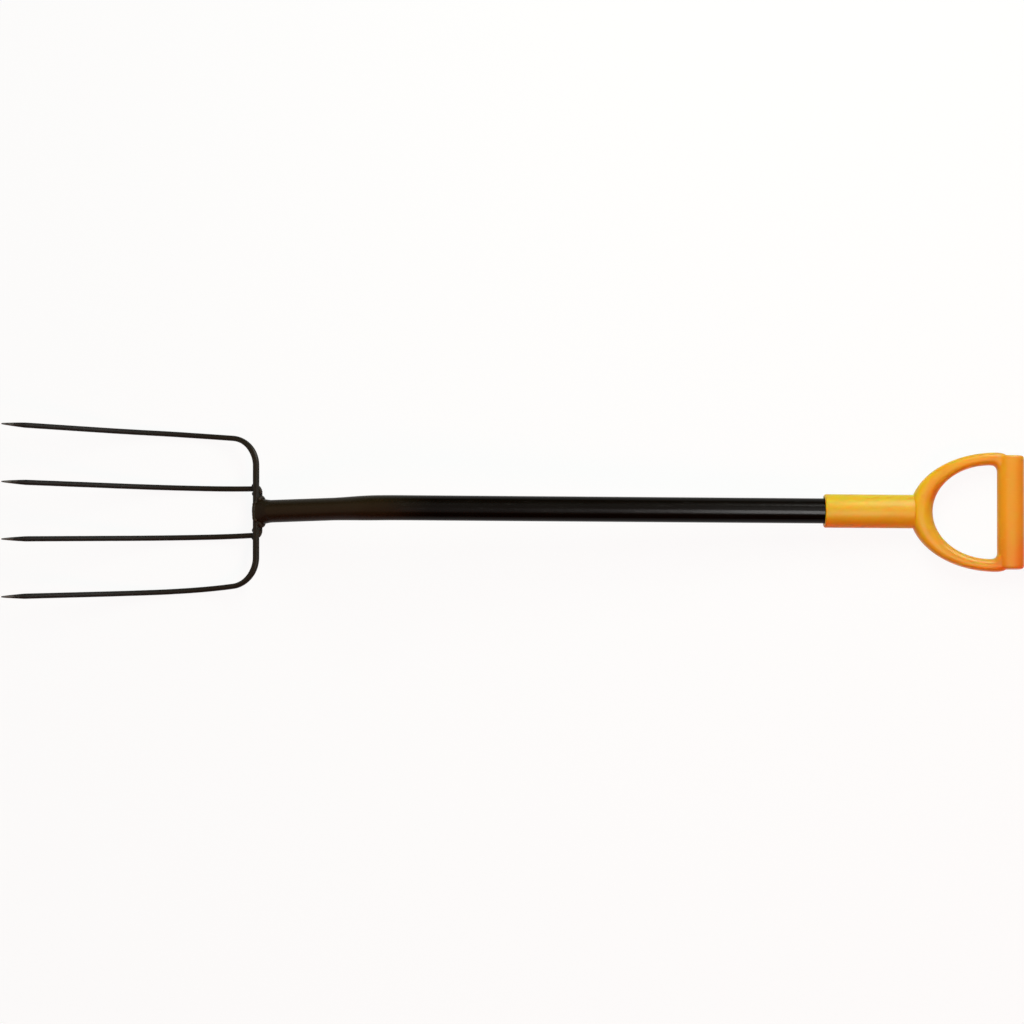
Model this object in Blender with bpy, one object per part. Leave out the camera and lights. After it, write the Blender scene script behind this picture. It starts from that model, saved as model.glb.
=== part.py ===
"""A compost fork: two bent steel bars make its four tines, and a cranked steel tube joins them to a D handle.

Metres, +Z up. The fork lies on its back as it is put down: the bellies of the tines and the grip touch z = 0,
the tines point to -X, the handle to +X, and the hollow of the tines faces up. The origin is on the ground
under the middle of the fork's length.
"""

from math import acos, atan2, ceil, cos, hypot, pi, radians, sin, sqrt, tan

import bmesh
import bpy
from mathutils import Matrix, Vector

# The whole fork
OVERALL_LENGTH = 1.220
GAP = 0.0003  # clearance between pieces that touch

# The bars of the tines
BAR_DIAMETER = 0.008
TINE_WIDTH = 0.0066  # the bar is pressed oval along the tine
TINE_DEPTH = 0.008
TINE_PITCH = 0.069  # from tine to tine at the tips
POINT_LENGTH = 0.030
POINT_STEPS = (1.0, 0.7, 0.4, 0.15)  # facets of the point, as shares of its length
POINT_FULLNESS = 0.70  # 1 is a straight taper, less is fuller
POINT_WIDTH = 0.0013
NOSE_SHARE = 0.5  # width of the blunt nose, of the point's width
OVAL_FROM = 0.4  # a bar turns from round to oval between this cosine of its direction and 1
TINE_STEP = 0.011  # length of one facet along a tine
BAR_SIDES = 14

# The side view of the head
HEAD_ANGLE = radians(26.5)  # the roots of the tines and the neck rise this much towards the handle
CROSSBAR_X = -0.3063
CROSSBAR_Z = 0.029
HEEL_RADIUS = 0.125
TOE_RADIUS = 0.400
TIP_LIFT = 0.048  # height of the tips' centre over the belly's

# The plan of the two bows
OUTER_CORNER_RADIUS = 0.034
OUTER_ROOT_SPLAY = radians(5.5)
OUTER_TIP_SPLAY = radians(2.5)
OUTER_RELIEF_LENGTH = 0.100  # over which the outer tines turn from the one splay to the other
INNER_CORNER_RADIUS = 0.0055
INNER_ROOT_HALF_SPAN = 0.0278

# The tube
TUBE_DIAMETER = 0.030
TUBE_WALL = 0.0016
NECK_DIAMETER = 0.027
MOUTH_WIDTH = 0.032  # where the tube is flattened over the bars
MOUTH_REACH = 0.0002  # how far its lips pass the middle of the bars
MOUTH_SLACK = 0.0006  # what the mouth is higher than the two bars in it
FLATTENED_LENGTH = 0.020
NOTCH_HALF_SPAN = 0.030  # the cutter of the notches goes right through the mouth
NECK_TAPER_START = 0.097  # along the tube, from its mouth
NECK_TAPER_END = 0.158
SHAFT_ANGLE = radians(6.2)  # the shaft falls this much towards the handle
CRANK_RADIUS = 0.100
TUBE_SIDES = 32

# What follows from the stack of two bars in the mouth
BAR_STACK = BAR_DIAMETER + GAP  # from the middle of the one crossbar to the middle of the other
MOUTH_HEIGHT = BAR_DIAMETER + BAR_STACK + 2 * GAP + 2 * TUBE_WALL + MOUTH_SLACK

# The handle, with p along the tube's axis from the mouth of the sleeve
SLEEVE_DIAMETER = 0.040
SLEEVE_LENGTH = 0.1072
SLEEVE_MOUTH_RADIUS = 0.0022
SLEEVE_SHOULDER_RADIUS = 0.0006  # at the yoke, where the sleeve ends in a crisp line
SLEEVE_SIDES = 40
SOCKET_DEPTH = 0.092
SOCKET_LEAD_IN = 0.0008  # the socket's mouth is wider by this, over the length below
SOCKET_LEAD_IN_LENGTH = 0.0012
TUBE_END_GAP = 0.001
GRIP_P = 0.2243
GRIP_WIDTH = 0.0318
GRIP_THICKNESS = 0.029
GRIP_CORNER_RADIUS = 0.012
GRIP_LENGTH = 0.1356
GRIP_END_RADIUS = 0.003
HAND_OPENING_P = 0.200  # middle of the ellipse that the opening follows
HAND_OPENING_REACH = 0.0693
HAND_OPENING_HALF_WIDTH = 0.056
YOKE_P = 0.2072  # middle of the ellipse that the outside follows
YOKE_REACH = 0.1039
YOKE_HALF_WIDTH = 0.0712
YOKE_HALF_THICKNESS = 0.0170
ARM_HALF_THICKNESS = 0.0118
ARM_END_LENGTH = 0.012  # over which the arms round off into the grip
OUTER_SQUARENESS = 3.2
ARM_INNER_SQUARENESS = 2.2
YOKE_INNER_SQUARENESS = 1.6  # sloped like a bevel towards the hand
ARM_SIDES = 20
ARM_STEPS = 12
ARM_TAPER_SHARE = 0.55  # of the arm's length, over which it thins out
ARM_END_INSET = 0.0005
ARM_FILLET_RADIUS = 0.007  # inside, where an arm runs into the grip

# The screw in the underside of the sleeve
SCREW_P = 0.062
SCREW_SHANK_DIAMETER = 0.0042
SCREW_LENGTH = 0.0120
SCREW_HEAD_DIAMETER = 0.0085
SCREW_HEAD_HEIGHT = 0.0024
SCREW_DOME = ((0.0, 0.72), (0.0004, 0.92), (0.0011, 1.0))  # (depth under the top, share of the head's radius)
SCREW_TIP_LENGTH = 0.003
SCREW_TIP_SHARE = 0.25
SCREW_RECESS_DEPTH = 0.0030
SCREW_SIDES = 20
SCREW_HOLE_DEPTH = 0.009  # through the sleeve into the socket
PILOT_DEPTH = 0.012  # through the near wall of the tube
CROSS_REACH = 0.0022
CROSS_WIDTH = 0.0011
CROSS_DEPTH = 0.0013

# The weld beads
BEAD_RADIUS = 0.0025
BEAD_SIDES = 10
BEAD_RIPPLE = 0.08  # share by which every other ring is thinner
BEAD_STEP = 0.0014  # from ring to ring
BEAD_END_REACH = 0.8  # length and width of a bead's rounded end, in radii
BEAD_END_SHARE = 0.5
BEAD_STAND_OFF = 0.0034  # from the middle of a bar to the middle of the bead beside it
# The crossbar's bead, from its middle to its end along an inner tine, as (forward, across, down)
CROSSBAR_BEAD = ((0.0034, 0.0, 0.0), (0.0034, 0.0170, 0.0), (0.0040, 0.0196, 0.0006),
                 (0.0054, 0.0216, 0.0016), (0.0076, 0.0226, 0.0026))
CORNER_BEAD_FROM = 0.0216  # from the middle of the crossbar
CORNER_BEAD_TO = 0.0075  # along the tine
CORNER_BEAD_SINK = 0.0006
LIP_BEAD_RADIUS = 0.0021
LIP_BEAD_ADVANCE = 0.0003  # beyond the edge of the lip
LIP_BEAD_SINK = 0.0010
LIP_BEAD_LEVEL = 0.0083  # the least height over the middle of the stack, on top of the bar
LIP_BEAD_HALF_SPAN = 0.0084
LIP_CORNER = ((-0.0001, 0.0097), (-0.0017, 0.0109), (-0.0031, 0.0117))  # round a corner, (forward, across)
SIDE_BEAD_HEIGHT = 0.0063
SIDE_BEAD_BACK = 0.0052
SIDE_BEAD_OUT = 0.0006

# Colours, from the photograph
PAINT_BLACK = (0.018, 0.014, 0.009, 1.0)
BAR_BLACK = (0.022, 0.019, 0.014, 1.0)
WELD_BLACK = (0.024, 0.020, 0.015, 1.0)
HANDLE_ORANGE = (0.83, 0.33, 0.03, 1.0)
ZINC_GREY = (0.55, 0.56, 0.58, 1.0)


def clear_scene():
    for thing in list(bpy.data.objects):
        bpy.data.objects.remove(thing, do_unlink=True)


def make_material(name, colour, roughness, metallic):
    material = bpy.data.materials.new(name)
    material.use_nodes = True
    shader = material.node_tree.nodes["Principled BSDF"]
    shader.inputs["Base Color"].default_value = colour
    shader.inputs["Roughness"].default_value = roughness
    shader.inputs["Metallic"].default_value = metallic
    material.diffuse_color = colour
    return material


def object_from(name, mesh_builder, material=None):
    """A new object from a bmesh, its faces turned outwards and shaded smooth up to sharp edges."""
    bmesh.ops.recalc_face_normals(mesh_builder, faces=mesh_builder.faces)
    mesh = bpy.data.meshes.new(name)
    mesh_builder.to_mesh(mesh)
    mesh_builder.free()
    mesh.shade_smooth()
    mesh.set_sharp_from_angle(angle=radians(35))
    if material:
        mesh.materials.append(material)
    made = bpy.data.objects.new(name, mesh)
    bpy.context.scene.collection.objects.link(made)
    return made


def as_cutter(thing):
    thing.hide_render = True
    thing.display_type = "WIRE"
    return thing


def boolean(thing, other, operation):
    """A live Boolean; the other object becomes a helper that isn't part of the fork."""
    modifier = thing.modifiers.new(operation.title(), "BOOLEAN")
    modifier.operation = operation
    modifier.solver = "EXACT"
    modifier.object = as_cutter(other)


def smooth_step(value, start, end):
    share = min(1.0, max(0.0, (value - start) / (end - start)))
    return share * share * (3.0 - 2.0 * share)


def mix(first, second, share):
    return first + (second - first) * share


def loft(rings):
    """A closed bmesh through rings of equal length, with both ends capped."""
    made = bmesh.new()
    loops = [[made.verts.new(point) for point in ring] for ring in rings]
    count = len(loops[0])
    for near, far in zip(loops, loops[1:]):
        for i in range(count):
            made.faces.new((near[i], near[(i + 1) % count], far[(i + 1) % count], far[i]))
    made.faces.new(loops[0][::-1])
    made.faces.new(loops[-1])
    return made


def oval(centre, across, up, half_width, half_depth, sides, squareness=2.0):
    """One ring of points: an ellipse, or with more squareness a fuller oval."""
    ring = []
    for i in range(sides):
        turn = 2.0 * pi * i / sides
        x = abs(cos(turn)) ** (2.0 / squareness) * (1 if cos(turn) >= 0 else -1)
        y = abs(sin(turn)) ** (2.0 / squareness) * (1 if sin(turn) >= 0 else -1)
        ring.append(centre + across * (half_width * x) + up * (half_depth * y))
    return ring


# Directions of the head and of the shaft
ACROSS = Vector((0, 1, 0))
HEAD_FORWARD = Vector((-cos(HEAD_ANGLE), 0, -sin(HEAD_ANGLE)))
HEAD_UP = Vector((-sin(HEAD_ANGLE), 0, cos(HEAD_ANGLE)))
SHAFT_FORWARD = Vector((cos(SHAFT_ANGLE), 0, -sin(SHAFT_ANGLE)))
SHAFT_UP = Vector((sin(SHAFT_ANGLE), 0, cos(SHAFT_ANGLE)))
CROSSBAR = Vector((CROSSBAR_X, 0, CROSSBAR_Z))


def head_point(forward, across, up):
    """A point by its distances from the middle of the outer crossbar, along the directions of the head."""
    return CROSSBAR + HEAD_FORWARD * forward + ACROSS * across + HEAD_UP * up


class Scoop:
    """The side view of a tine: straight root, heel arc down to the ground, toe arc, straight point."""

    def __init__(self, root):
        self.root = root
        belly_z = TINE_DEPTH / 2
        drop = root.z - belly_z - HEEL_RADIUS * (1 - cos(HEAD_ANGLE))
        self.root_length = drop / sin(HEAD_ANGLE)
        self.belly_x = root.x - self.root_length * cos(HEAD_ANGLE) - HEEL_RADIUS * sin(HEAD_ANGLE)
        run = self.belly_x + OVERALL_LENGTH / 2
        rise = TOE_RADIUS - TIP_LIFT
        self.toe_angle = atan2(run, rise) - acos(TOE_RADIUS / hypot(run, rise))
        self.heel_length = HEEL_RADIUS * HEAD_ANGLE
        self.toe_length = TOE_RADIUS * self.toe_angle
        point_length = run * cos(self.toe_angle) - rise * sin(self.toe_angle)
        self.length = self.root_length + self.heel_length + self.toe_length + point_length

    def at(self, distance):
        """The point this far along the side view, and the angle by which the tine falls there."""
        if distance <= self.root_length:
            return self.root + HEAD_FORWARD * distance, HEAD_ANGLE
        distance -= self.root_length
        belly = Vector((self.belly_x, 0, TINE_DEPTH / 2))
        if distance <= self.heel_length:
            fall = HEAD_ANGLE - distance / HEEL_RADIUS
            return belly + Vector((sin(fall), 0, 1 - cos(fall))) * HEEL_RADIUS, fall
        distance -= self.heel_length
        rise = min(distance / TOE_RADIUS, self.toe_angle)
        point = belly + Vector((-sin(rise), 0, 1 - cos(rise))) * TOE_RADIUS
        straight = max(0.0, distance - self.toe_length)
        return point + Vector((-cos(rise), 0, sin(rise))) * straight, -rise


def run_to(length, start, direction):
    """Points of a straight run in the plan, a facet apart, with their direction; the first is left out."""
    count = max(1, ceil(length / TINE_STEP))
    forward = Vector((cos(direction), sin(direction)))
    return [(start + forward * (length * i / count), direction) for i in range(1, count + 1)]


def turn_to(radius, start, first, last, steps):
    """Points of an arc in the plan that turns from the first direction to the last."""
    points = []
    for i in range(1, steps + 1):
        direction = mix(first, last, i / steps)
        x = start.x + radius * (sin(first) - sin(direction))
        y = start.y + radius * (cos(direction) - cos(first))
        points.append((Vector((x, y)), direction))
    return points


def outer_half_plan(length):
    """One half of the outer bow laid flat: along the crossbar, round the corner and out along the tine."""
    straight = length - OUTER_CORNER_RADIUS * (1 - sin(OUTER_ROOT_SPLAY))
    relief_radius = OUTER_RELIEF_LENGTH / (OUTER_ROOT_SPLAY - OUTER_TIP_SPLAY)
    straight -= relief_radius * (sin(OUTER_ROOT_SPLAY) - sin(OUTER_TIP_SPLAY))
    relief_span = relief_radius * (cos(OUTER_TIP_SPLAY) - cos(OUTER_ROOT_SPLAY))
    corner_span = OUTER_CORNER_RADIUS * cos(OUTER_ROOT_SPLAY)
    tip_span = straight * tan(OUTER_TIP_SPLAY)
    crossbar = 1.5 * TINE_PITCH - corner_span - relief_span - tip_span
    plan = run_to(crossbar, Vector((0, 0)), pi / 2)
    plan += turn_to(OUTER_CORNER_RADIUS, plan[-1][0], pi / 2, OUTER_ROOT_SPLAY, 10)
    plan += turn_to(relief_radius, plan[-1][0], OUTER_ROOT_SPLAY, OUTER_TIP_SPLAY, 9)
    return plan + run_to(straight / cos(OUTER_TIP_SPLAY), plan[-1][0], OUTER_TIP_SPLAY)


def inner_half_plan(length):
    """One half of the inner bow laid flat."""
    splay = atan2(TINE_PITCH / 2 - INNER_ROOT_HALF_SPAN, length)
    crossbar = INNER_ROOT_HALF_SPAN - INNER_CORNER_RADIUS * cos(splay)
    plan = run_to(crossbar, Vector((0, 0)), pi / 2)
    plan += turn_to(INNER_CORNER_RADIUS, plan[-1][0], pi / 2, splay, 8)
    straight = (length - plan[-1][0].x) / cos(splay)
    return plan + run_to(straight, plan[-1][0], splay)


def add_point(plan):
    """Extra points near the end of the plan, so that the tine narrows evenly and ends in a blunt nose."""
    end, direction = plan[-1]
    forward = Vector((cos(direction), sin(direction)))
    kept = [entry for entry in plan if (entry[0] - end).dot(forward) < -POINT_LENGTH - TINE_STEP / 4]
    backs = [POINT_LENGTH * share for share in POINT_STEPS] + [POINT_WIDTH * NOSE_SHARE, 0]
    return kept + [(end - forward * back, direction) for back in backs]


def bar_section(plan, index):
    """Half the width and half the depth of the bar at this point of its plan."""
    place, direction = plan[index]
    to_tip = (plan[-1][0] - place).length
    oval_share = smooth_step(cos(direction), OVAL_FROM, 1.0)
    width = mix(BAR_DIAMETER, TINE_WIDTH, oval_share)
    depth = mix(BAR_DIAMETER, TINE_DEPTH, oval_share)
    if to_tip < POINT_LENGTH:
        share = to_tip / POINT_LENGTH
        width = mix(POINT_WIDTH, width, share**POINT_FULLNESS)
        depth = mix(POINT_WIDTH, depth, share**POINT_FULLNESS)
    if index == len(plan) - 1:
        width *= NOSE_SHARE
        depth *= NOSE_SHARE
    return width / 2, depth / 2


def bow_rings(half_plan, scoop, grow=0.0):
    """Rings of a whole bow from tip to tip: the half plan, mirrored, wrapped on to the side view."""
    rings = []
    for side in (-1, 1):
        half = []
        for index, (place, direction) in enumerate(half_plan):
            point, fall = scoop.at(place.x)
            along = Vector((-cos(fall), 0, -sin(fall))) * cos(direction) + ACROSS * (side * sin(direction))
            up = Vector((-sin(fall), 0, cos(fall)))
            half_width, half_depth = bar_section(half_plan, index)
            centre = point + ACROSS * (side * place.y)
            sideways = up.cross(along) * side
            half.append(oval(centre, sideways, up, half_width + grow, half_depth + grow, BAR_SIDES))
        rings += half[::-1] if side < 0 else half
    return rings


def tube_station(distance):
    """Where the tube's axis is, this far from the mouth, the direction of its top, and its half sizes."""
    start = head_point(MOUTH_REACH, 0, -BAR_STACK / 2)
    crank = HEAD_ANGLE + SHAFT_ANGLE
    tangent = CRANK_RADIUS * tan(crank / 2)
    bend_start = CRANK_AT - tangent
    bend_length = CRANK_RADIUS * crank
    if distance < bend_start:
        place, climb = start - HEAD_FORWARD * distance, HEAD_ANGLE
    elif distance < bend_start + bend_length:
        climb = HEAD_ANGLE - (distance - bend_start) / CRANK_RADIUS
        middle = start - HEAD_FORWARD * bend_start - HEAD_UP * CRANK_RADIUS
        place = middle + Vector((-sin(climb), 0, cos(climb))) * CRANK_RADIUS
    else:
        climb = -SHAFT_ANGLE
        straight = distance - bend_start - bend_length + tangent
        place = start - HEAD_FORWARD * CRANK_AT + SHAFT_FORWARD * straight
    up = Vector((-sin(climb), 0, cos(climb)))
    flat = 1 - smooth_step(distance, 0, FLATTENED_LENGTH)
    neck = mix(NECK_DIAMETER, TUBE_DIAMETER, smooth_step(distance, NECK_TAPER_START, NECK_TAPER_END))
    return place, up, mix(neck, MOUTH_WIDTH, flat) / 2, mix(neck, MOUTH_HEIGHT, flat) / 2


def tube_rings(distances, grow=0.0):
    rings = []
    for distance in distances:
        place, up, half_width, half_height = tube_station(distance)
        rings.append(oval(place, ACROSS, up, half_width + grow, half_height + grow, TUBE_SIDES))
    return rings


def grip_drop():
    """How far the grip's lowest point is under its middle, with the handle at the angle of the shaft."""
    half_flat_p = GRIP_WIDTH / 2 - GRIP_CORNER_RADIUS
    half_flat_q = GRIP_THICKNESS / 2 - GRIP_CORNER_RADIUS
    return half_flat_p * sin(SHAFT_ANGLE) + half_flat_q * cos(SHAFT_ANGLE) + GRIP_CORNER_RADIUS


def grip_reach():
    """How far the grip's end is beyond its middle along X."""
    half_flat_p = GRIP_WIDTH / 2 - GRIP_CORNER_RADIUS
    half_flat_q = GRIP_THICKNESS / 2 - GRIP_CORNER_RADIUS
    return half_flat_p * cos(SHAFT_ANGLE) + half_flat_q * sin(SHAFT_ANGLE) + GRIP_CORNER_RADIUS


GRIP_MIDDLE = Vector((OVERALL_LENGTH / 2 - grip_reach(), 0, grip_drop()))
SLEEVE_MOUTH = GRIP_MIDDLE - SHAFT_FORWARD * GRIP_P


def crank_distance():
    """How far along the tube from its mouth the lines of the neck and of the shaft cross."""
    start = head_point(MOUTH_REACH, 0, -BAR_STACK / 2)
    to_grip = GRIP_MIDDLE - start
    return to_grip.dot(SHAFT_UP) / (-HEAD_FORWARD).dot(SHAFT_UP)


CRANK_AT = crank_distance()


def tube_length():
    start = head_point(MOUTH_REACH, 0, -BAR_STACK / 2)
    crank = HEAD_ANGLE + SHAFT_ANGLE
    corner = start - HEAD_FORWARD * CRANK_AT
    straight = (SLEEVE_MOUTH - corner).dot(SHAFT_FORWARD) + SOCKET_DEPTH - TUBE_END_GAP
    return CRANK_AT + straight - 2 * CRANK_RADIUS * tan(crank / 2) + CRANK_RADIUS * crank


def tube_distances():
    """Distances along the tube where its shape changes, close together only where it bends or tapers."""
    mouth = [FLATTENED_LENGTH * i / 6 for i in range(7)]
    bend_end = CRANK_AT + CRANK_RADIUS * tan((HEAD_ANGLE + SHAFT_ANGLE) / 2)
    taper = [mix(NECK_TAPER_START, bend_end, i / 16) for i in range(17)]
    return mouth + taper + [tube_length()]


def handle_point(p, across, q):
    """A point by its distance from the sleeve's mouth, its distance across, and its height over the axis."""
    return SLEEVE_MOUTH + SHAFT_FORWARD * p + ACROSS * across + SHAFT_UP * q


def turned(name, profile, sides, material=None):
    """A solid of revolution about the handle's axis; the profile runs from axis to axis as (p, radius)."""
    rings = []
    for p, radius in profile:
        rings.append(oval(handle_point(p, 0, 0), ACROSS, SHAFT_UP, radius, radius, sides))
    return object_from(name, loft(rings), material)


def sleeve_profile():
    radius = SLEEVE_DIAMETER / 2
    mouth = []
    shoulder = []
    for i in range(5):
        turn = radians(90 * i / 4)
        mouth.append((SLEEVE_MOUTH_RADIUS * (1 - cos(turn)), radius - SLEEVE_MOUTH_RADIUS * (1 - sin(turn))))
        p = SLEEVE_LENGTH - SLEEVE_SHOULDER_RADIUS * (1 - sin(turn))
        shoulder.append((p, radius - SLEEVE_SHOULDER_RADIUS * (1 - cos(turn))))
    return mouth + shoulder


def arm_stations():
    """Inner and outer edge of the D, in (p, across), its half thickness and its inner side's squareness."""
    half = []
    end_turn = acos((YOKE_P - HAND_OPENING_P) / YOKE_REACH)
    for i in range(ARM_STEPS + 1):
        share = i / ARM_STEPS
        inner_turn = share * pi / 2
        outer_turn = share * end_turn
        inner = (
            HAND_OPENING_P - HAND_OPENING_REACH * cos(inner_turn),
            HAND_OPENING_HALF_WIDTH * sin(inner_turn),
        )
        outer = (YOKE_P - YOKE_REACH * cos(outer_turn), YOKE_HALF_WIDTH * sin(outer_turn))
        thinned = smooth_step(share, 0.0, ARM_TAPER_SHARE)
        half_thickness = mix(YOKE_HALF_THICKNESS, ARM_HALF_THICKNESS, thinned)
        half.append((inner, outer, half_thickness, mix(YOKE_INNER_SQUARENESS, ARM_INNER_SQUARENESS, thinned)))
    fillet_p = GRIP_P - GRIP_WIDTH / 2 - ARM_FILLET_RADIUS
    for degrees in (25, 45, 62, 78):
        turn = radians(degrees)
        p = fillet_p + ARM_FILLET_RADIUS * sin(turn)
        inner_across = HAND_OPENING_HALF_WIDTH - ARM_FILLET_RADIUS * (1 - cos(turn))
        outer_across = YOKE_HALF_WIDTH * sqrt(1 - ((YOKE_P - p) / YOKE_REACH) ** 2)
        half.append(((p, inner_across), (p, outer_across), ARM_HALF_THICKNESS, ARM_INNER_SQUARENESS))
    inner_across = HAND_OPENING_HALF_WIDTH - ARM_FILLET_RADIUS
    grip_end = GRIP_LENGTH / 2 - ARM_END_INSET
    for degrees in (15, 35, 55, 75, 90):
        turn = radians(degrees)
        p = YOKE_P + ARM_END_LENGTH * sin(turn)
        outer_across = mix(grip_end, YOKE_HALF_WIDTH, cos(turn))
        half.append(((p, inner_across), (p, outer_across), ARM_HALF_THICKNESS, ARM_INNER_SQUARENESS))
    mirrored = []
    for inner, outer, half_thickness, squareness in half[:0:-1]:
        mirrored.append(((inner[0], -inner[1]), (outer[0], -outer[1]), half_thickness, squareness))
    return mirrored + half


def arm_ring(near, far, half_thickness, inner_squareness):
    """The section of the D between its inner and outer edge: the two sides differ in squareness."""
    middle = (near + far) / 2
    across = (far - near).normalized()
    half_width = (far - near).length / 2
    outside = oval(middle, across, SHAFT_UP, half_width, half_thickness, ARM_SIDES, OUTER_SQUARENESS)
    inside = oval(middle, across, SHAFT_UP, half_width, half_thickness, ARM_SIDES, inner_squareness)
    quarter = ARM_SIDES // 4
    return outside[:quarter] + inside[quarter : 3 * quarter] + outside[3 * quarter :]


def make_arms():
    rings = []
    for inner, outer, half_thickness, inner_squareness in arm_stations():
        near = handle_point(inner[0], inner[1], 0)
        far = handle_point(outer[0], outer[1], 0)
        rings.append(arm_ring(near, far, half_thickness, inner_squareness))
    return object_from("arms", loft(rings))


def make_grip():
    """The grip bar: a rounded rectangle drawn out across the handle, with rounded edges at its flat ends."""
    half_flat_p = GRIP_WIDTH / 2 - GRIP_CORNER_RADIUS
    half_flat_q = GRIP_THICKNESS / 2 - GRIP_CORNER_RADIUS
    half_length = GRIP_LENGTH / 2
    stations = []
    for i in range(4):
        turn = radians(90 * i / 3)
        inset = GRIP_END_RADIUS * (1 - sin(turn))
        stations.append((half_length - GRIP_END_RADIUS * (1 - cos(turn)), inset))
    stations = [(-across, inset) for across, inset in stations] + stations[::-1]
    rings = []
    for across, inset in stations:
        ring = []
        for corner in range(4):
            side_p = 1 if corner in (0, 3) else -1
            side_q = 1 if corner in (0, 1) else -1
            for i in range(7):
                turn = radians(90 * corner + 90 * i / 6)
                radius = GRIP_CORNER_RADIUS - inset
                p = GRIP_P + side_p * half_flat_p + radius * cos(turn)
                ring.append(handle_point(p, across, side_q * half_flat_q + radius * sin(turn)))
        rings.append(ring)
    return object_from("grip", loft(rings))


def screw_turned(name, profile, material=None):
    """A solid of revolution about the screw's axis; the profile is (depth from the sleeve's skin, radius)."""
    skin = handle_point(SCREW_P, 0, -SLEEVE_DIAMETER / 2)
    rings = []
    for depth, radius in profile:
        rings.append(oval(skin + SHAFT_UP * depth, SHAFT_FORWARD, ACROSS, radius, radius, SCREW_SIDES))
    return object_from(name, loft(rings), material)


def make_screw(material):
    head = SCREW_HEAD_DIAMETER / 2
    shank = SCREW_SHANK_DIAMETER / 2
    seat = SCREW_RECESS_DEPTH - GAP
    top = seat - SCREW_HEAD_HEIGHT
    end = seat + SCREW_LENGTH
    profile = [(top + depth, head * share) for depth, share in SCREW_DOME]
    profile += [(seat, head), (seat, shank), (end - SCREW_TIP_LENGTH, shank), (end, shank * SCREW_TIP_SHARE)]
    screw = screw_turned("handle_screw", profile, material)
    frame = Matrix((SHAFT_FORWARD, ACROSS, SHAFT_UP)).transposed().to_4x4()
    size = Matrix.Diagonal((2 * CROSS_REACH, CROSS_WIDTH, 2 * CROSS_DEPTH, 1))
    place = Matrix.Translation(handle_point(SCREW_P, 0, top - SLEEVE_DIAMETER / 2))
    for turn in (0, pi / 2):
        slot = bmesh.new()
        bmesh.ops.create_cube(slot, size=1.0)
        slot.transform(place @ frame @ Matrix.Rotation(turn, 4, "Z") @ size)
        boolean(screw, object_from("screw_slot_cutter", slot), "DIFFERENCE")
    return screw


def make_handle(material):
    handle = turned("d_handle", sleeve_profile(), SLEEVE_SIDES, material)
    boolean(handle, make_arms(), "UNION")
    boolean(handle, make_grip(), "UNION")
    bore = TUBE_DIAMETER / 2 + GAP
    wide = bore + SOCKET_LEAD_IN
    socket = [(-SOCKET_LEAD_IN_LENGTH, wide), (0, wide), (SOCKET_LEAD_IN_LENGTH, bore), (SOCKET_DEPTH, bore)]
    boolean(handle, turned("socket_cutter", socket, TUBE_SIDES), "DIFFERENCE")
    head = SCREW_HEAD_DIAMETER / 2 + GAP
    shank = SCREW_SHANK_DIAMETER / 2 + GAP
    seat = SCREW_RECESS_DEPTH
    hole = [(-seat, head), (seat, head), (seat, shank), (SCREW_HOLE_DEPTH, shank)]
    boolean(handle, screw_turned("screw_hole_cutter", hole), "DIFFERENCE")
    return handle


def notch_outline():
    """The side view of the notch as (forward, up): round both bars, and open to the front."""
    corner = BAR_DIAMETER / 2 + GAP
    low = -BAR_STACK
    outline = [(NOTCH_HALF_SPAN, corner), (0, corner)]
    for degrees in (30, 60, 90):
        turn = radians(degrees)
        outline.append((-corner * sin(turn), corner * cos(turn)))
    for degrees in (90, 120, 150):
        turn = radians(degrees)
        outline.append((-corner * sin(turn), low + corner * cos(turn)))
    return outline + [(0, low - corner), (NOTCH_HALF_SPAN, low - corner)]


def make_tube(material):
    """The tube: its bore and the notches that let the bars through are cut from a solid."""
    distances = tube_distances()
    tube = object_from("shaft_tube", loft(tube_rings(distances)), material)
    past = [-2 * TUBE_WALL] + distances[1:-1] + [distances[-1] + 2 * TUBE_WALL]
    boolean(tube, object_from("bore_cutter", loft(tube_rings(past, -TUBE_WALL))), "DIFFERENCE")
    ends = (-NOTCH_HALF_SPAN, NOTCH_HALF_SPAN)
    sides = [[head_point(forward, across, up) for forward, up in notch_outline()] for across in ends]
    boolean(tube, object_from("notch_cutter", loft(sides)), "DIFFERENCE")
    shank = SCREW_SHANK_DIAMETER / 2 + GAP
    boolean(tube, screw_turned("pilot_cutter", [(0, shank), (PILOT_DEPTH, shank)]), "DIFFERENCE")
    return tube


def evenly(points):
    """Points a bead step apart along the line through these points."""
    lengths = [0.0]
    for near, far in zip(points, points[1:]):
        lengths.append(lengths[-1] + (far - near).length)
    count = 2 * max(1, round(lengths[-1] / BEAD_STEP / 2))
    even = []
    for i in range(count + 1):
        want = lengths[-1] * i / count
        k = max(j for j in range(len(points) - 1) if lengths[j] <= want)
        even.append(points[k].lerp(points[k + 1], (want - lengths[k]) / (lengths[k + 1] - lengths[k])))
    return even


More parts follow.
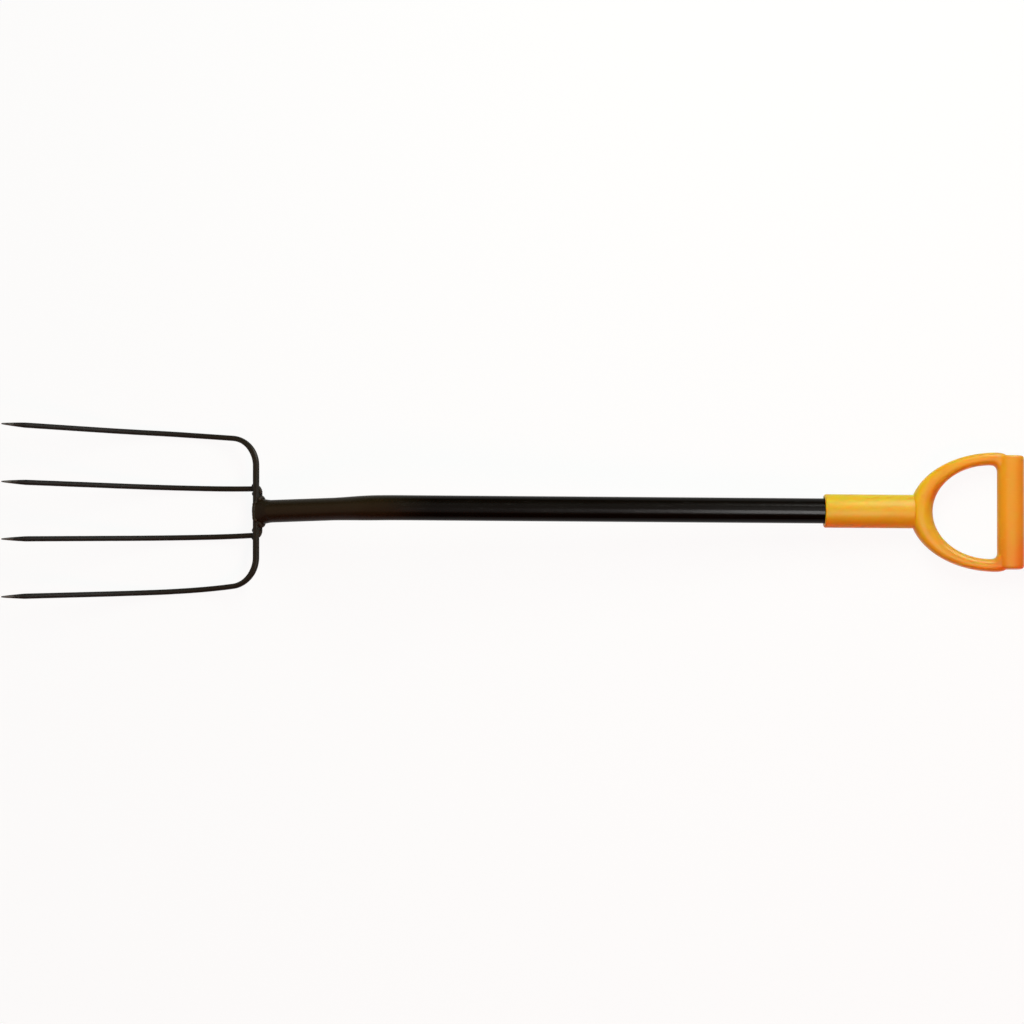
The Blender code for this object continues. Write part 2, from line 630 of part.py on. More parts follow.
def bead(name, path, material=None, radius=BEAD_RADIUS, grow=0.0):
    """A rippled, round-ended weld bead along a path, before the metal that it lies against is cut away."""
    points = evenly(path)
    last = len(points) - 1
    rings = []
    for i, point in enumerate(points):
        along = (points[min(i + 1, last)] - points[max(i - 1, 0)]).normalized()
        side = along.cross(HEAD_UP if abs(along.dot(HEAD_UP)) < 0.8 else HEAD_FORWARD).normalized()
        if rings and side.dot(last_side) < 0:
            side = -side
        last_side = side
        up = side.cross(along)
        size = radius * (1 - BEAD_RIPPLE * (i % 2)) + grow
        ring = oval(point, side, up, size, size, BEAD_SIDES)
        if i in (0, last):
            end = point + along * (radius * BEAD_END_REACH + grow) * (1 if i else -1)
            cap = oval(end, side, up, size * BEAD_END_SHARE, size * BEAD_END_SHARE, BEAD_SIDES)
            rings += [ring, cap] if i else [cap, ring]
        else:
            rings.append(ring)
    return object_from(name, loft(rings), material)


def crossbar_bead_path():
    """In the groove between the crossbars, on the tines' side, and a little way along both inner tines."""
    half = [(forward, across, -BAR_STACK / 2 - down) for forward, across, down in CROSSBAR_BEAD]
    left = [head_point(*point) for point in half]
    right = [head_point(forward, -across, up) for forward, across, up in half[:0:-1]]
    return right + left


def corner_bead_path(side):
    """Behind the crossbars, round the outside of the inner bow's corner, and a little way along its tine."""
    hug = INNER_CORNER_RADIUS + BEAD_STAND_OFF
    start = INNER_ROOT_HALF_SPAN - INNER_CORNER_RADIUS
    plan = [(-BEAD_STAND_OFF, CORNER_BEAD_FROM)]
    for i in range(9):
        turn = pi / 2 * i / 8
        plan.append((INNER_CORNER_RADIUS - hug * cos(turn), start + hug * sin(turn)))
    plan.append((CORNER_BEAD_TO, start + hug))
    height = -BAR_STACK / 2 - CORNER_BEAD_SINK
    return [head_point(forward, side * across, height) for forward, across in plan]


def lip_bead_path(lift):
    """Along the front or the back lip of the tube's mouth, and round both its corners."""
    path = []
    for i in range(-8, 9):
        across = LIP_BEAD_HALF_SPAN * i / 8
        lip = MOUTH_HEIGHT / 2 * sqrt(1 - (2 * across / MOUTH_WIDTH) ** 2)
        height = max(lip - LIP_BEAD_SINK, LIP_BEAD_LEVEL)
        path.append(head_point(MOUTH_REACH + LIP_BEAD_ADVANCE, across, lift * height - BAR_STACK / 2))
    level = lift * LIP_BEAD_LEVEL - BAR_STACK / 2
    left = [head_point(forward, across, level) for forward, across in LIP_CORNER]
    right = [head_point(forward, -across, level) for forward, across in LIP_CORNER]
    return right[::-1] + path + left


def side_bead_path(side):
    """Down the side of the mouth, behind both bars."""
    path = []
    for i in range(13):
        height = mix(-SIDE_BEAD_HEIGHT, SIDE_BEAD_HEIGHT, i / 12)
        share = height / (MOUTH_HEIGHT / 2)
        back = SIDE_BEAD_BACK * sqrt(1 - abs(share) ** 5)
        across = MOUTH_WIDTH / 2 * sqrt(1 - share**2) + SIDE_BEAD_OUT
        path.append(head_point(-back, side * across, height - BAR_STACK / 2))
    return path


def make_welds(material, metal):
    """Each bead lies in a corner between pieces; metal holds copies of them, grown by the gap, as cutters."""
    beads = [bead("crossbar_weld", crossbar_bead_path(), material)]
    grown_sides = []
    for side, name in ((-1, "right"), (1, "left")):
        beads.append(bead("bow_weld_" + name, corner_bead_path(side), material))
        beads.append(bead("neck_weld_" + name, side_bead_path(side), material))
        grown_sides.append(bead("grown_side_bead", side_bead_path(side), grow=GAP))
    for lift, name in ((1, "front"), (-1, "back")):
        lip_bead = bead("neck_weld_" + name, lip_bead_path(lift), material, LIP_BEAD_RADIUS)
        beads.append(lip_bead)
        for grown in grown_sides:
            boolean(lip_bead, grown, "DIFFERENCE")
    for made in beads:
        for cutter in metal:
            boolean(made, cutter, "DIFFERENCE")


def build():
    clear_scene()
    bar_paint = make_material("bar_paint", BAR_BLACK, 0.42, 0.0)
    weld_paint = make_material("weld_paint", WELD_BLACK, 0.5, 0.0)
    tube_paint = make_material("tube_paint", PAINT_BLACK, 0.32, 0.0)
    orange_plastic = make_material("orange_plastic", HANDLE_ORANGE, 0.42, 0.0)
    zinc_plate = make_material("zinc_plate", ZINC_GREY, 0.35, 1.0)

    outer_scoop = Scoop(CROSSBAR)
    outer_plan = add_point(outer_half_plan(outer_scoop.length))
    object_from("outer_tine_bow", loft(bow_rings(outer_plan, outer_scoop)), bar_paint)
    inner_scoop = Scoop(head_point(0, 0, -BAR_STACK))
    inner_plan = add_point(inner_half_plan(inner_scoop.length))
    object_from("inner_tine_bow", loft(bow_rings(inner_plan, inner_scoop)), bar_paint)

    make_tube(tube_paint)
    make_handle(orange_plastic)
    make_screw(zinc_plate)

    grown_outer = object_from("grown_outer_bow", loft(bow_rings(outer_plan, outer_scoop, GAP)))
    grown_inner = object_from("grown_inner_bow", loft(bow_rings(inner_plan, inner_scoop, GAP)))
    neck = [-GAP] + tube_distances()[1:10]
    grown_tube = object_from("grown_neck", loft(tube_rings(neck, GAP)))
    make_welds(weld_paint, [grown_outer, grown_inner, grown_tube])


build()
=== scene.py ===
"""A compost fork laid on its back on a pale floor: two bent bars, a cranked tube and a moulded D handle."""

from math import acos, atan2, ceil, cos, exp, hypot, pi, radians, sin, sqrt, tan

import bmesh
import bpy
from mathutils import Matrix, Vector


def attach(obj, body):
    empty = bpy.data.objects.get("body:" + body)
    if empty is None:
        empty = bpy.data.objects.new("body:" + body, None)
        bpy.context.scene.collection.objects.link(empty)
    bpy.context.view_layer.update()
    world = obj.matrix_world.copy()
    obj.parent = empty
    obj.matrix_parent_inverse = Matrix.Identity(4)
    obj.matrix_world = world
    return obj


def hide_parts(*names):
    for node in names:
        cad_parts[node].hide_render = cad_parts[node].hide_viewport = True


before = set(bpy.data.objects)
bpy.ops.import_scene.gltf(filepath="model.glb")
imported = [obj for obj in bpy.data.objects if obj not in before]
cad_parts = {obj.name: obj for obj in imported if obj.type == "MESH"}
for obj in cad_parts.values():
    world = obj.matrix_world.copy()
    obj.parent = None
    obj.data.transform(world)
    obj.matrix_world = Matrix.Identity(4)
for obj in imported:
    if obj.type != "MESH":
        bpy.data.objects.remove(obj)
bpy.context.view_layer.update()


# The outer bow: one 8 mm round steel bar bent to a U. Its middle is the crossbar, and its legs are the two
# outer tines, pressed oval, curved down to a belly and up again, and drawn out to points. It is dipped in
# satin black paint, a little uneven over the hammered steel, and rubbed where the points go into the heap.
# Towards the roots a mottled warm sheen is painted into the black.

FORK_LENGTH = 1.220
FIT_GAP = 0.0003
HEAD_TILT = radians(26.5)
CROSSBAR_MIDDLE = Vector((-0.3063, 0, 0.029))
ACROSS = Vector((0, 1, 0))
TO_TIPS = Vector((-cos(HEAD_TILT), 0, -sin(HEAD_TILT)))
HEAD_UP = Vector((-sin(HEAD_TILT), 0, cos(HEAD_TILT)))
BAR_DIAMETER = 0.008
TINE_WIDTH = 0.0066
HEEL_RADIUS = 0.125
TOE_RADIUS = 0.400
TIP_LIFT = 0.048
TIP_PITCH = 0.069
POINT_LENGTH = 0.030
POINT_WIDTH = 0.0013
POINT_FULLNESS = 0.70
POINT_STEP = 0.0012
POINT_BLUNTNESS = 0.04
OVAL_FROM = 0.4
BAR_STEP = 0.0025
BAR_SIDES = 32
BEND_STEPS = 16
HAMMERING = 0.00016
DENTS_PER_METRE = 85.0
DENT_SINK = 1.05  # keeps the dents inside the bar
OUTER_CORNER_RADIUS = 0.034
ROOT_SPLAY = radians(5.5)
TIP_SPLAY = radians(2.5)
RELIEF_LENGTH = 0.100
BAR_BLACK = (0.0140, 0.0138, 0.0132, 1.0)
# painted light: the black with a warm sheen on it, used towards the roots
ROOT_WARM_SHEEN_BLACK = (0.0140, 0.0108, 0.0056, 1.0)
RUBBED_STEEL = (0.165, 0.160, 0.150, 1.0)
PAINT_GLOSS = 0.07
RUBBED_FADE = (0.002, 0.055)  # from the tips
ROOT_WARM_SHEEN_FADE = (0.12, 0.30)  # from the tips


class Value:
    """A socket whose sums are written as plain expressions; each operator adds its Math node."""

    def __init__(self, nodes, socket):
        self.nodes = nodes
        self.socket = socket

    def sum(self, operation, *terms):
        return self.nodes.add("ShaderNodeMath", {"operation": operation}, dict(enumerate(terms)))

    def __add__(self, other):
        return self.sum("ADD", self, other)

    def __sub__(self, other):
        return self.sum("SUBTRACT", self, other)

    def __rsub__(self, other):
        return self.sum("SUBTRACT", other, self)

    def __mul__(self, other):
        return self.sum("MULTIPLY", self, other)

    def __truediv__(self, other):
        return self.sum("DIVIDE", self, other)

    def __pow__(self, other):
        return self.sum("POWER", self, other)

    def __abs__(self):
        return self.sum("ABSOLUTE", self)

    __radd__ = __add__
    __rmul__ = __mul__

    def within(self, start, end):
        """0 up to the start, 1 from the end on, and a soft step between them."""
        settings = {"interpolation_type": "SMOOTHSTEP"}
        inputs = {"Value": self, "From Min": start, "From Max": end}
        return self.nodes.add("ShaderNodeMapRange", settings, inputs)


class Nodes:
    """Adds nodes to a tree, each from its type, its settings, and the values or links of its sockets."""

    def __init__(self, tree):
        self.tree = tree

    def add(self, kind, settings=None, inputs=None, output=0):
        node = self.tree.nodes.new(kind)
        for name, value in (settings or {}).items():
            setattr(node, name, value)
        for name, value in (inputs or {}).items():
            if isinstance(value, Value):
                self.tree.links.new(value.socket, node.inputs[name])
            else:
                node.inputs[name].default_value = value
        return Value(self, node.outputs[output])

    def vector(self, operation, *terms, output=0):
        return self.add("ShaderNodeVectorMath", {"operation": operation}, dict(enumerate(terms)), output)

    def dot(self, first, second):
        return self.vector("DOT_PRODUCT", first, second, output="Value")

    def scaled(self, vector, factor):
        return self.add("ShaderNodeVectorMath", {"operation": "SCALE"}, {0: vector, "Scale": factor})

    def blend(self, share, first, second):
        """Mixes two colours. The node's sockets for them share their names with others, so go by number."""
        inputs = {0: share, 6: first, 7: second}
        return self.add("ShaderNodeMix", {"data_type": "RGBA", "clamp_factor": True}, inputs, 2)

    def noise(self, place, grains_per_metre, detail):
        inputs = {"Vector": place, "Scale": grains_per_metre, "Detail": detail}
        return self.add("ShaderNodeTexNoise", None, inputs)

    def stretched_noise(self, place, grains_per_metre, detail):
        """Noise with its own number of grains per metre along each axis."""
        return self.noise(self.vector("MULTIPLY", place, grains_per_metre), 1.0, detail)


class Finish(Nodes):
    """A material that starts from its Principled shader, and reads the piece's own Object coordinates."""

    def __init__(self, name, **constants):
        self.material = bpy.data.materials.new(name)
        self.material.use_nodes = True
        super().__init__(self.material.node_tree)
        self.shader = self.tree.nodes["Principled BSDF"]
        for label, value in constants.items():
            self.shader.inputs[label.replace("_", " ")].default_value = value
        self.place = self.add("ShaderNodeTexCoord", output="Object")

    def feed(self, label, value):
        self.tree.links.new(value.socket, self.shader.inputs[label])

    def bump(self, height, depth, strength=1.0):
        inputs = {"Height": height, "Distance": depth, "Strength": strength}
        self.feed("Normal", self.add("ShaderNodeBump", None, inputs))


def bar_paint():
    """Satin black paint over hammered steel: soft mottling, a fine peel, rubbed points, and a painted warm
    sheen towards the roots.
    """
    paint = Finish("bar_paint", Specular_IOR_Level=PAINT_GLOSS)
    mottle = paint.noise(paint.place, 45.0, 4.0)
    peel = paint.noise(paint.place, 620.0, 2.0)
    scratches = paint.stretched_noise(paint.place, (90.0, 1400.0, 1400.0), 4.0)
    from_tips = paint.add("ShaderNodeSeparateXYZ", None, {0: paint.place}, "X") + FORK_LENGTH / 2
    near_tip = 1 - from_tips.within(*RUBBED_FADE)
    rubbed = (near_tip * 0.55 + scratches * 0.62).within(0.72, 0.92) * 0.75
    near_root = from_tips.within(*ROOT_WARM_SHEEN_FADE)
    # painted light: a mottled warm sheen on the black towards the roots
    black = paint.blend((mottle * 0.6 + 0.4) * near_root, BAR_BLACK, ROOT_WARM_SHEEN_BLACK)
    paint.feed("Base Color", paint.blend(rubbed, black, RUBBED_STEEL))
    paint.feed("Roughness", mottle * 0.16 + scratches * 0.08 + 0.30 - rubbed * 0.06)
    paint.feed("Metallic", rubbed * 0.8)
    paint.bump(peel + scratches * near_tip * 0.8, 0.00012)
    return paint.material


class Workings(Nodes):
    """A Geometry Nodes tree with named inputs that works on one geometry."""

    def __init__(self, name, **inputs):
        super().__init__(bpy.data.node_groups.new(name, "GeometryNodeTree"))
        self.sockets = {}
        face = self.tree.interface
        face.new_socket("Geometry", in_out="INPUT", socket_type="NodeSocketGeometry")
        for label, kind in inputs.items():
            item = face.new_socket(label.replace("_", " "), in_out="INPUT", socket_type="NodeSocket" + kind)
            self.sockets[label] = item.identifier
        face.new_socket("Geometry", in_out="OUTPUT", socket_type="NodeSocketGeometry")
        self.start = self.tree.nodes.new("NodeGroupInput")

    def given(self, label):
        return Value(self, self.start.outputs[label.replace("_", " ")])

    def attribute(self, label, kind="FLOAT_VECTOR"):
        return self.add("GeometryNodeInputNamedAttribute", {"data_type": kind}, {"Name": label})

    def end(self, geometry):
        whole = self.add("GeometryNodeRealizeInstances", None, {"Geometry": geometry})
        inputs = {"Geometry": whole, "Material": self.given("Material")}
        painted = self.add("GeometryNodeSetMaterial", None, inputs)
        self.tree.links.new(painted.socket, self.tree.nodes.new("NodeGroupOutput").inputs[0])

    def on(self, thing, **values):
        """Puts the tree on an object, with a value for each named input."""
        modifier = thing.modifiers.new(self.tree.name, "NODES")
        modifier.node_group = self.tree
        for label, value in values.items():
            modifier[self.sockets[label]] = value

    def sweep(self):
        """A round section along the given path, of the size stored on it, and the way out from the path."""
        curve = self.add("GeometryNodeMeshToCurve", None, {"Mesh": self.given("Geometry")})
        inputs = {"Resolution": self.given("Sides"), "Radius": 1.0}
        circle = self.add("GeometryNodeCurvePrimitiveCircle", None, inputs)
        inputs = {"Curve": curve, "Profile Curve": circle, "Fill Caps": True}
        inputs["Scale"] = self.attribute("half_depth", "FLOAT")
        skin = self.add("GeometryNodeCurveToMesh", None, inputs)
        place = self.add("GeometryNodeInputPosition")
        return skin, self.vector("SUBTRACT", place, self.attribute("centre"))

    def seeded_noise(self, grains_per_metre):
        inputs = {"Vector": self.add("GeometryNodeInputPosition"), "W": self.given("Seed")}
        inputs["Scale"] = grains_per_metre
        return self.add("ShaderNodeTexNoise", {"noise_dimensions": "4D"}, inputs)

    def end_moved(self, geometry, offset):
        moved = self.add("GeometryNodeSetPosition", None, {"Geometry": geometry, "Offset": offset})
        self.end(self.add("GeometryNodeSetShadeSmooth", None, {0: moved}))


def swept_bar():
    """Sweeps a round section along a path, then presses it oval and dents it slightly all over."""
    work = Workings("swept_bar", Sides="Int", Hammering="Float", Seed="Float", Material="Material")
    skin, from_axis = work.sweep()
    sideways = work.attribute("sideways")
    squeeze = work.attribute("half_width", "FLOAT") / work.attribute("half_depth", "FLOAT") - 1
    pressed = work.scaled(sideways, work.dot(from_axis, sideways) * squeeze)
    dents = (work.seeded_noise(DENTS_PER_METRE) - DENT_SINK) * work.given("Hammering")
    dented = work.scaled(work.vector("NORMALIZE", from_axis), dents)
    work.end_moved(skin, work.vector("ADD", pressed, dented))
    return work


def mix(first, second, share):
    return first + (second - first) * share


def smooth_step(value, start, end):
    share = min(1.0, max(0.0, (value - start) / (end - start)))
    return share * share * (3.0 - 2.0 * share)


def head_point(forward, across, up):
    """A point from the middle of the outer crossbar: towards the tips, across, and out of the hollow side."""
    return CROSSBAR_MIDDLE + TO_TIPS * forward + ACROSS * across + HEAD_UP * up


class SideView:
    """The side view of a tine from its root: straight, round the heel, round the toe, straight to the tip."""

    def __init__(self, root):
        self.root = root
        self.belly_z = BAR_DIAMETER / 2
        drop = root.z - self.belly_z - HEEL_RADIUS * (1 - cos(HEAD_TILT))
        self.root_length = drop / sin(HEAD_TILT)
        self.belly_x = root.x - self.root_length * cos(HEAD_TILT) - HEEL_RADIUS * sin(HEAD_TILT)
        run = self.belly_x + FORK_LENGTH / 2
        rise = TOE_RADIUS - TIP_LIFT
        self.toe_turn = atan2(run, rise) - acos(TOE_RADIUS / hypot(run, rise))
        self.toe_length = TOE_RADIUS * self.toe_turn
        self.heel_length = HEEL_RADIUS * HEAD_TILT
        straight = run * cos(self.toe_turn) - rise * sin(self.toe_turn)
        self.length = self.root_length + self.heel_length + self.toe_length + straight

    def at(self, distance):
        if distance <= self.root_length:
            return self.root + TO_TIPS * distance, HEAD_TILT
        distance -= self.root_length
        belly = Vector((self.belly_x, 0, self.belly_z))
        if distance <= self.heel_length:
            fall = HEAD_TILT - distance / HEEL_RADIUS
            return belly + Vector((sin(fall), 0, 1 - cos(fall))) * HEEL_RADIUS, fall
        distance -= self.heel_length
        rise = min(distance / TOE_RADIUS, self.toe_turn)
        on_arc = belly + Vector((-sin(rise), 0, 1 - cos(rise))) * TOE_RADIUS
        return on_arc + Vector((-cos(rise), 0, sin(rise))) * max(0.0, distance - self.toe_length), -rise


def straight_run(plan, length, direction):
    count = max(1, ceil(length / BAR_STEP))
    start = plan[-1][0]
    ahead = Vector((cos(direction), sin(direction)))
    plan += [(start + ahead * (length * i / count), direction) for i in range(1, count + 1)]


def bend(plan, radius, first, last):
    steps = max(BEND_STEPS, ceil(abs(last - first) * radius / BAR_STEP))
    start = plan[-1][0]
    for i in range(1, steps + 1):
        direction = mix(first, last, i / steps)
        shift = Vector((sin(first) - sin(direction), cos(direction) - cos(first)))
        plan.append((start + shift * radius, direction))


def bow_stations(plan, side_view):
    """Where a bow's section is from tip to tip, which way it faces, and its half sizes."""
    tip, direction = plan[-1]
    ahead = Vector((cos(direction), sin(direction)))
    plan = [entry for entry in plan if (entry[0] - tip).dot(ahead) < -POINT_LENGTH - BAR_STEP / 2]
    steps = ceil(POINT_LENGTH / POINT_STEP)
    plan += [(tip - ahead * (POINT_LENGTH * (1 - i / steps)), direction) for i in range(steps + 1)]
    half = []
    for place, direction in plan:
        oval = smooth_step(cos(direction), OVAL_FROM, 1.0)
        share = min(1.0, (place - tip).length / POINT_LENGTH)
        nose = sqrt(min(1.0, (place - tip).length / POINT_WIDTH + POINT_BLUNTNESS))
        width = mix(POINT_WIDTH, mix(BAR_DIAMETER, TINE_WIDTH, oval), share**POINT_FULLNESS) * nose
        depth = mix(POINT_WIDTH, BAR_DIAMETER, share**POINT_FULLNESS) * nose
        half.append((place, direction, width / 2, depth / 2))
    stations = []
    for side in (-1, 1):
        leg = []
        for place, direction, half_width, half_depth in half:
            point, fall = side_view.at(place.x)
            along = Vector((-cos(fall), 0, -sin(fall))) * cos(direction) + ACROSS * (side * sin(direction))
            up = Vector((-sin(fall), 0, cos(fall)))
            leg.append((point + ACROSS * (side * place.y), up.cross(along), half_width, half_depth))
        stations += leg[:0:-1] if side < 0 else leg
    return stations


def add_object(name, data):
    made = bpy.data.objects.new(name, data)
    bpy.context.scene.collection.objects.link(made)
    return made


def modified_mesh(thing):
    """A plain mesh of what an object's modifiers make of it."""
    return bpy.data.meshes.new_from_object(thing.evaluated_get(bpy.context.evaluated_depsgraph_get()))


def path_object(name, stations, crowns=None):
    """The line that a bar or a bead follows, with what its section needs stored on its points."""
    mesh = bpy.data.meshes.new(name)
    points = [station[0] for station in stations]
    mesh.from_pydata(points, [(i, i + 1) for i in range(len(points) - 1)], [])
    distances = [0.0]
    for near, far in zip(points, points[1:]):
        distances.append(distances[-1] + (far - near).length)
    vectors = {"centre": points, "sideways": [station[1] for station in stations], "crown": crowns}
    floats = {"half_width": [station[2] for station in stations]}
    floats["half_depth"] = [station[3] for station in stations]
    floats["along"] = distances
    for label, values in vectors.items():
        if values:
            data = mesh.attributes.new(label, "FLOAT_VECTOR", "POINT").data
            data.foreach_set("vector", [part for value in values for part in value])
    for label, values in floats.items():
        mesh.attributes.new(label, "FLOAT", "POINT").data.foreach_set("value", values)
    return add_object(name, mesh)


def settle(source, node):
    """Turns what the modifiers make into a plain mesh that stands for a CAD node and rides on the fork."""
    mesh = modified_mesh(source)
    name = source.name
    bpy.data.objects.remove(source)
    mesh.name = name
    for label in ("centre", "sideways", "crown", "half_width", "half_depth", "along"):
        if label in mesh.attributes:
            mesh.attributes.remove(mesh.attributes[label])
    made = add_object(name, mesh)
    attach(made, "root")
    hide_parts(node)


outer_view = SideView(CROSSBAR_MIDDLE)
relief_radius = RELIEF_LENGTH / (ROOT_SPLAY - TIP_SPLAY)
straight = outer_view.length - OUTER_CORNER_RADIUS * (1 - sin(ROOT_SPLAY))
straight -= relief_radius * (sin(ROOT_SPLAY) - sin(TIP_SPLAY))
spread = OUTER_CORNER_RADIUS * cos(ROOT_SPLAY) + relief_radius * (cos(TIP_SPLAY) - cos(ROOT_SPLAY))
outer_plan = [(Vector((0, 0)), pi / 2)]
straight_run(outer_plan, 1.5 * TIP_PITCH - spread - straight * tan(TIP_SPLAY), pi / 2)
bend(outer_plan, OUTER_CORNER_RADIUS, pi / 2, ROOT_SPLAY)
bend(outer_plan, relief_radius, ROOT_SPLAY, TIP_SPLAY)
straight_run(outer_plan, straight / cos(TIP_SPLAY), TIP_SPLAY)

black_paint = bar_paint()
bar_sweep = swept_bar()
outer_bow = path_object("outer_bow_bar", bow_stations(outer_plan, outer_view))
bar_sweep.on(outer_bow, Sides=BAR_SIDES, Hammering=HAMMERING, Seed=1.0, Material=black_paint)
settle(outer_bow, "outer_tine_bow")


# The inner bow: the same bar bent to a narrower U with tight corners, laid behind the outer crossbar.
# Its legs are the two middle tines, of the same curve and length as the outer ones.

INNER_CORNER_RADIUS = 0.0055
INNER_HALF_SPAN = 0.0278
BAR_STACK = BAR_DIAMETER + FIT_GAP

inner_view = SideView(head_point(0, 0, -BAR_STACK))
inner_splay = atan2(TIP_PITCH / 2 - INNER_HALF_SPAN, inner_view.length)
inner_plan = [(Vector((0, 0)), pi / 2)]
straight_run(inner_plan, INNER_HALF_SPAN - INNER_CORNER_RADIUS * cos(inner_splay), pi / 2)
bend(inner_plan, INNER_CORNER_RADIUS, pi / 2, inner_splay)
straight_run(inner_plan, (inner_view.length - inner_plan[-1][0].x) / cos(inner_splay), inner_splay)

inner_bow = path_object("inner_bow_bar", bow_stations(inner_plan, inner_view))
bar_sweep.on(inner_bow, Sides=BAR_SIDES, Hammering=HAMMERING, Seed=2.0, Material=black_paint)
settle(inner_bow, "inner_tine_bow")


# The tube: 30 mm steel tube, drawn down to 27 mm at the neck and cranked, so that the shaft falls back to
# the ground. Its mouth is pressed flat over the two crossbars and notched to let them through, with a
# hollow pressed in at each corner. It is coated smooth semi-gloss black, with a warm sheen painted in
# towards the neck.

TUBE_DIAMETER = 0.030
TUBE_WALL = 0.0016
NECK_DIAMETER = 0.027
MOUTH_WIDTH = 0.032
MOUTH_SLACK = 0.0006
MOUTH_HEIGHT = BAR_DIAMETER + BAR_STACK + 2 * FIT_GAP + 2 * TUBE_WALL + MOUTH_SLACK
MOUTH_REACH = 0.0002
FLATTENED_LENGTH = 0.020
TAPER_START = 0.097
TAPER_END = 0.158
SHAFT_FALL = radians(6.2)
CRANK_RADIUS = 0.100
TUBE_SIDES = 96
TUBE_STEP = 0.003
DIMPLE_AT = 0.0165
DIMPLE_ACROSS = 0.0100
DIMPLE_DEPTH = 0.0009
DIMPLE_SPREAD = 0.0030
LIP_ROUND = 0.0004
LIP_BEVEL = 0.3
TUBE_SHARP = radians(40)
FINE_STEPS = 40
FINE_COUNT = 47
PAST_CRANK = 0.010
NOTCH_CUT = 0.03
SHAFT_AHEAD = Vector((cos(SHAFT_FALL), 0, -sin(SHAFT_FALL)))
SHAFT_UP = Vector((sin(SHAFT_FALL), 0, cos(SHAFT_FALL)))
TUBE_BLACK = (0.0022, 0.0012, 0.0004, 1.0)
TUBE_BLACK_WORN = (0.0052, 0.0040, 0.0026, 1.0)
# painted light: the coating's black with a warm sheen on it, for the neck
NECK_WARM_SHEEN_BLACK = (0.0165, 0.0105, 0.0045, 1.0)
NECK_WARM_SHEEN_FADE = (-0.155, -0.060)

GRIP_WIDTH = 0.0318
GRIP_THICKNESS = 0.029
GRIP_CORNER_RADIUS = 0.012
GRIP_P = 0.2243
SOCKET_DEPTH = 0.092
SOCKET_END_GAP = 0.001

half_flat_p = GRIP_WIDTH / 2 - GRIP_CORNER_RADIUS
half_flat_q = GRIP_THICKNESS / 2 - GRIP_CORNER_RADIUS
grip_reach = half_flat_p * cos(SHAFT_FALL) + half_flat_q * sin(SHAFT_FALL) + GRIP_CORNER_RADIUS
grip_drop = half_flat_p * sin(SHAFT_FALL) + half_flat_q * cos(SHAFT_FALL) + GRIP_CORNER_RADIUS
grip_middle = Vector((FORK_LENGTH / 2 - grip_reach, 0, grip_drop))
sleeve_mouth = grip_middle - SHAFT_AHEAD * GRIP_P
tube_mouth = head_point(MOUTH_REACH, 0, -BAR_STACK / 2)
crank = HEAD_TILT + SHAFT_FALL
crank_at = (grip_middle - tube_mouth).dot(SHAFT_UP) / -TO_TIPS.dot(SHAFT_UP)
crank_tangent = CRANK_RADIUS * tan(crank / 2)
crank_corner = tube_mouth - TO_TIPS * crank_at
past_crank = (sleeve_mouth - crank_corner).dot(SHAFT_AHEAD) + SOCKET_DEPTH - SOCKET_END_GAP
tube_length = crank_at + past_crank - 2 * crank_tangent + CRANK_RADIUS * crank


def tube_coating():
    """Smooth semi-gloss black: a long soft waviness, a faint peel, a few dull handling marks, and a painted
    warm sheen towards the neck.
    """
    coating = Finish("tube_coating", Specular_IOR_Level=0.05)
    haze = coating.noise(coating.place, 14.0, 4.0)
    peel = coating.noise(coating.place, 480.0, 2.0)
    marks = coating.stretched_noise(coating.place, (26.0, 420.0, 420.0), 5.0).within(0.58, 0.78)
    along = coating.add("ShaderNodeSeparateXYZ", None, {0: coating.place}, "X")
    # painted light: the warm sheen on the neck, fading out along the tube
    near_head = 1 - (along + haze * 0.06).within(*NECK_WARM_SHEEN_FADE)
    black = coating.blend(marks * 0.6 + haze * 0.25, TUBE_BLACK, TUBE_BLACK_WORN)
    coating.feed("Base Color", coating.blend(near_head, black, NECK_WARM_SHEEN_BLACK))
    coating.feed("Roughness", haze * 0.08 + marks * 0.12 + near_head * 0.13 + 0.165)
    coating.bump(peel, 0.00003)
    return coating.material


def tube_station(distance):
    """The tube's axis this far from its mouth, the direction of its top, and its half sizes."""
    bend_start = crank_at - crank_tangent
    bend_length = CRANK_RADIUS * crank
    if distance < bend_start:
        place = tube_mouth - TO_TIPS * distance
        climb = HEAD_TILT
    elif distance < bend_start + bend_length:
        climb = HEAD_TILT - (distance - bend_start) / CRANK_RADIUS
        middle = tube_mouth - TO_TIPS * bend_start - HEAD_UP * CRANK_RADIUS
        place = middle + Vector((-sin(climb), 0, cos(climb))) * CRANK_RADIUS
    else:
        climb = -SHAFT_FALL
        place = crank_corner + SHAFT_AHEAD * (distance - bend_start - bend_length + crank_tangent)
    up = Vector((-sin(climb), 0, cos(climb)))
    flat = 1 - smooth_step(distance, 0, FLATTENED_LENGTH)
    neck = mix(NECK_DIAMETER, TUBE_DIAMETER, smooth_step(distance, TAPER_START, TAPER_END))
    return place, up, mix(neck, MOUTH_WIDTH, flat) / 2, mix(neck, MOUTH_HEIGHT, flat) / 2


def tube_ring(distance, inset=0.0):
    place, up, half_width, half_height = tube_station(distance)
    ring = []
    for i in range(TUBE_SIDES):
        turn = 2 * pi * i / TUBE_SIDES
        across = (half_width - inset) * cos(turn)
        height = (half_height - inset) * sin(turn)
        off = (distance - DIMPLE_AT) ** 2 + (abs(across) - DIMPLE_ACROSS) ** 2
        height -= DIMPLE_DEPTH * exp(-off / DIMPLE_SPREAD**2) * sin(turn)
        ring.append(place + ACROSS * across + up * height)
    return ring


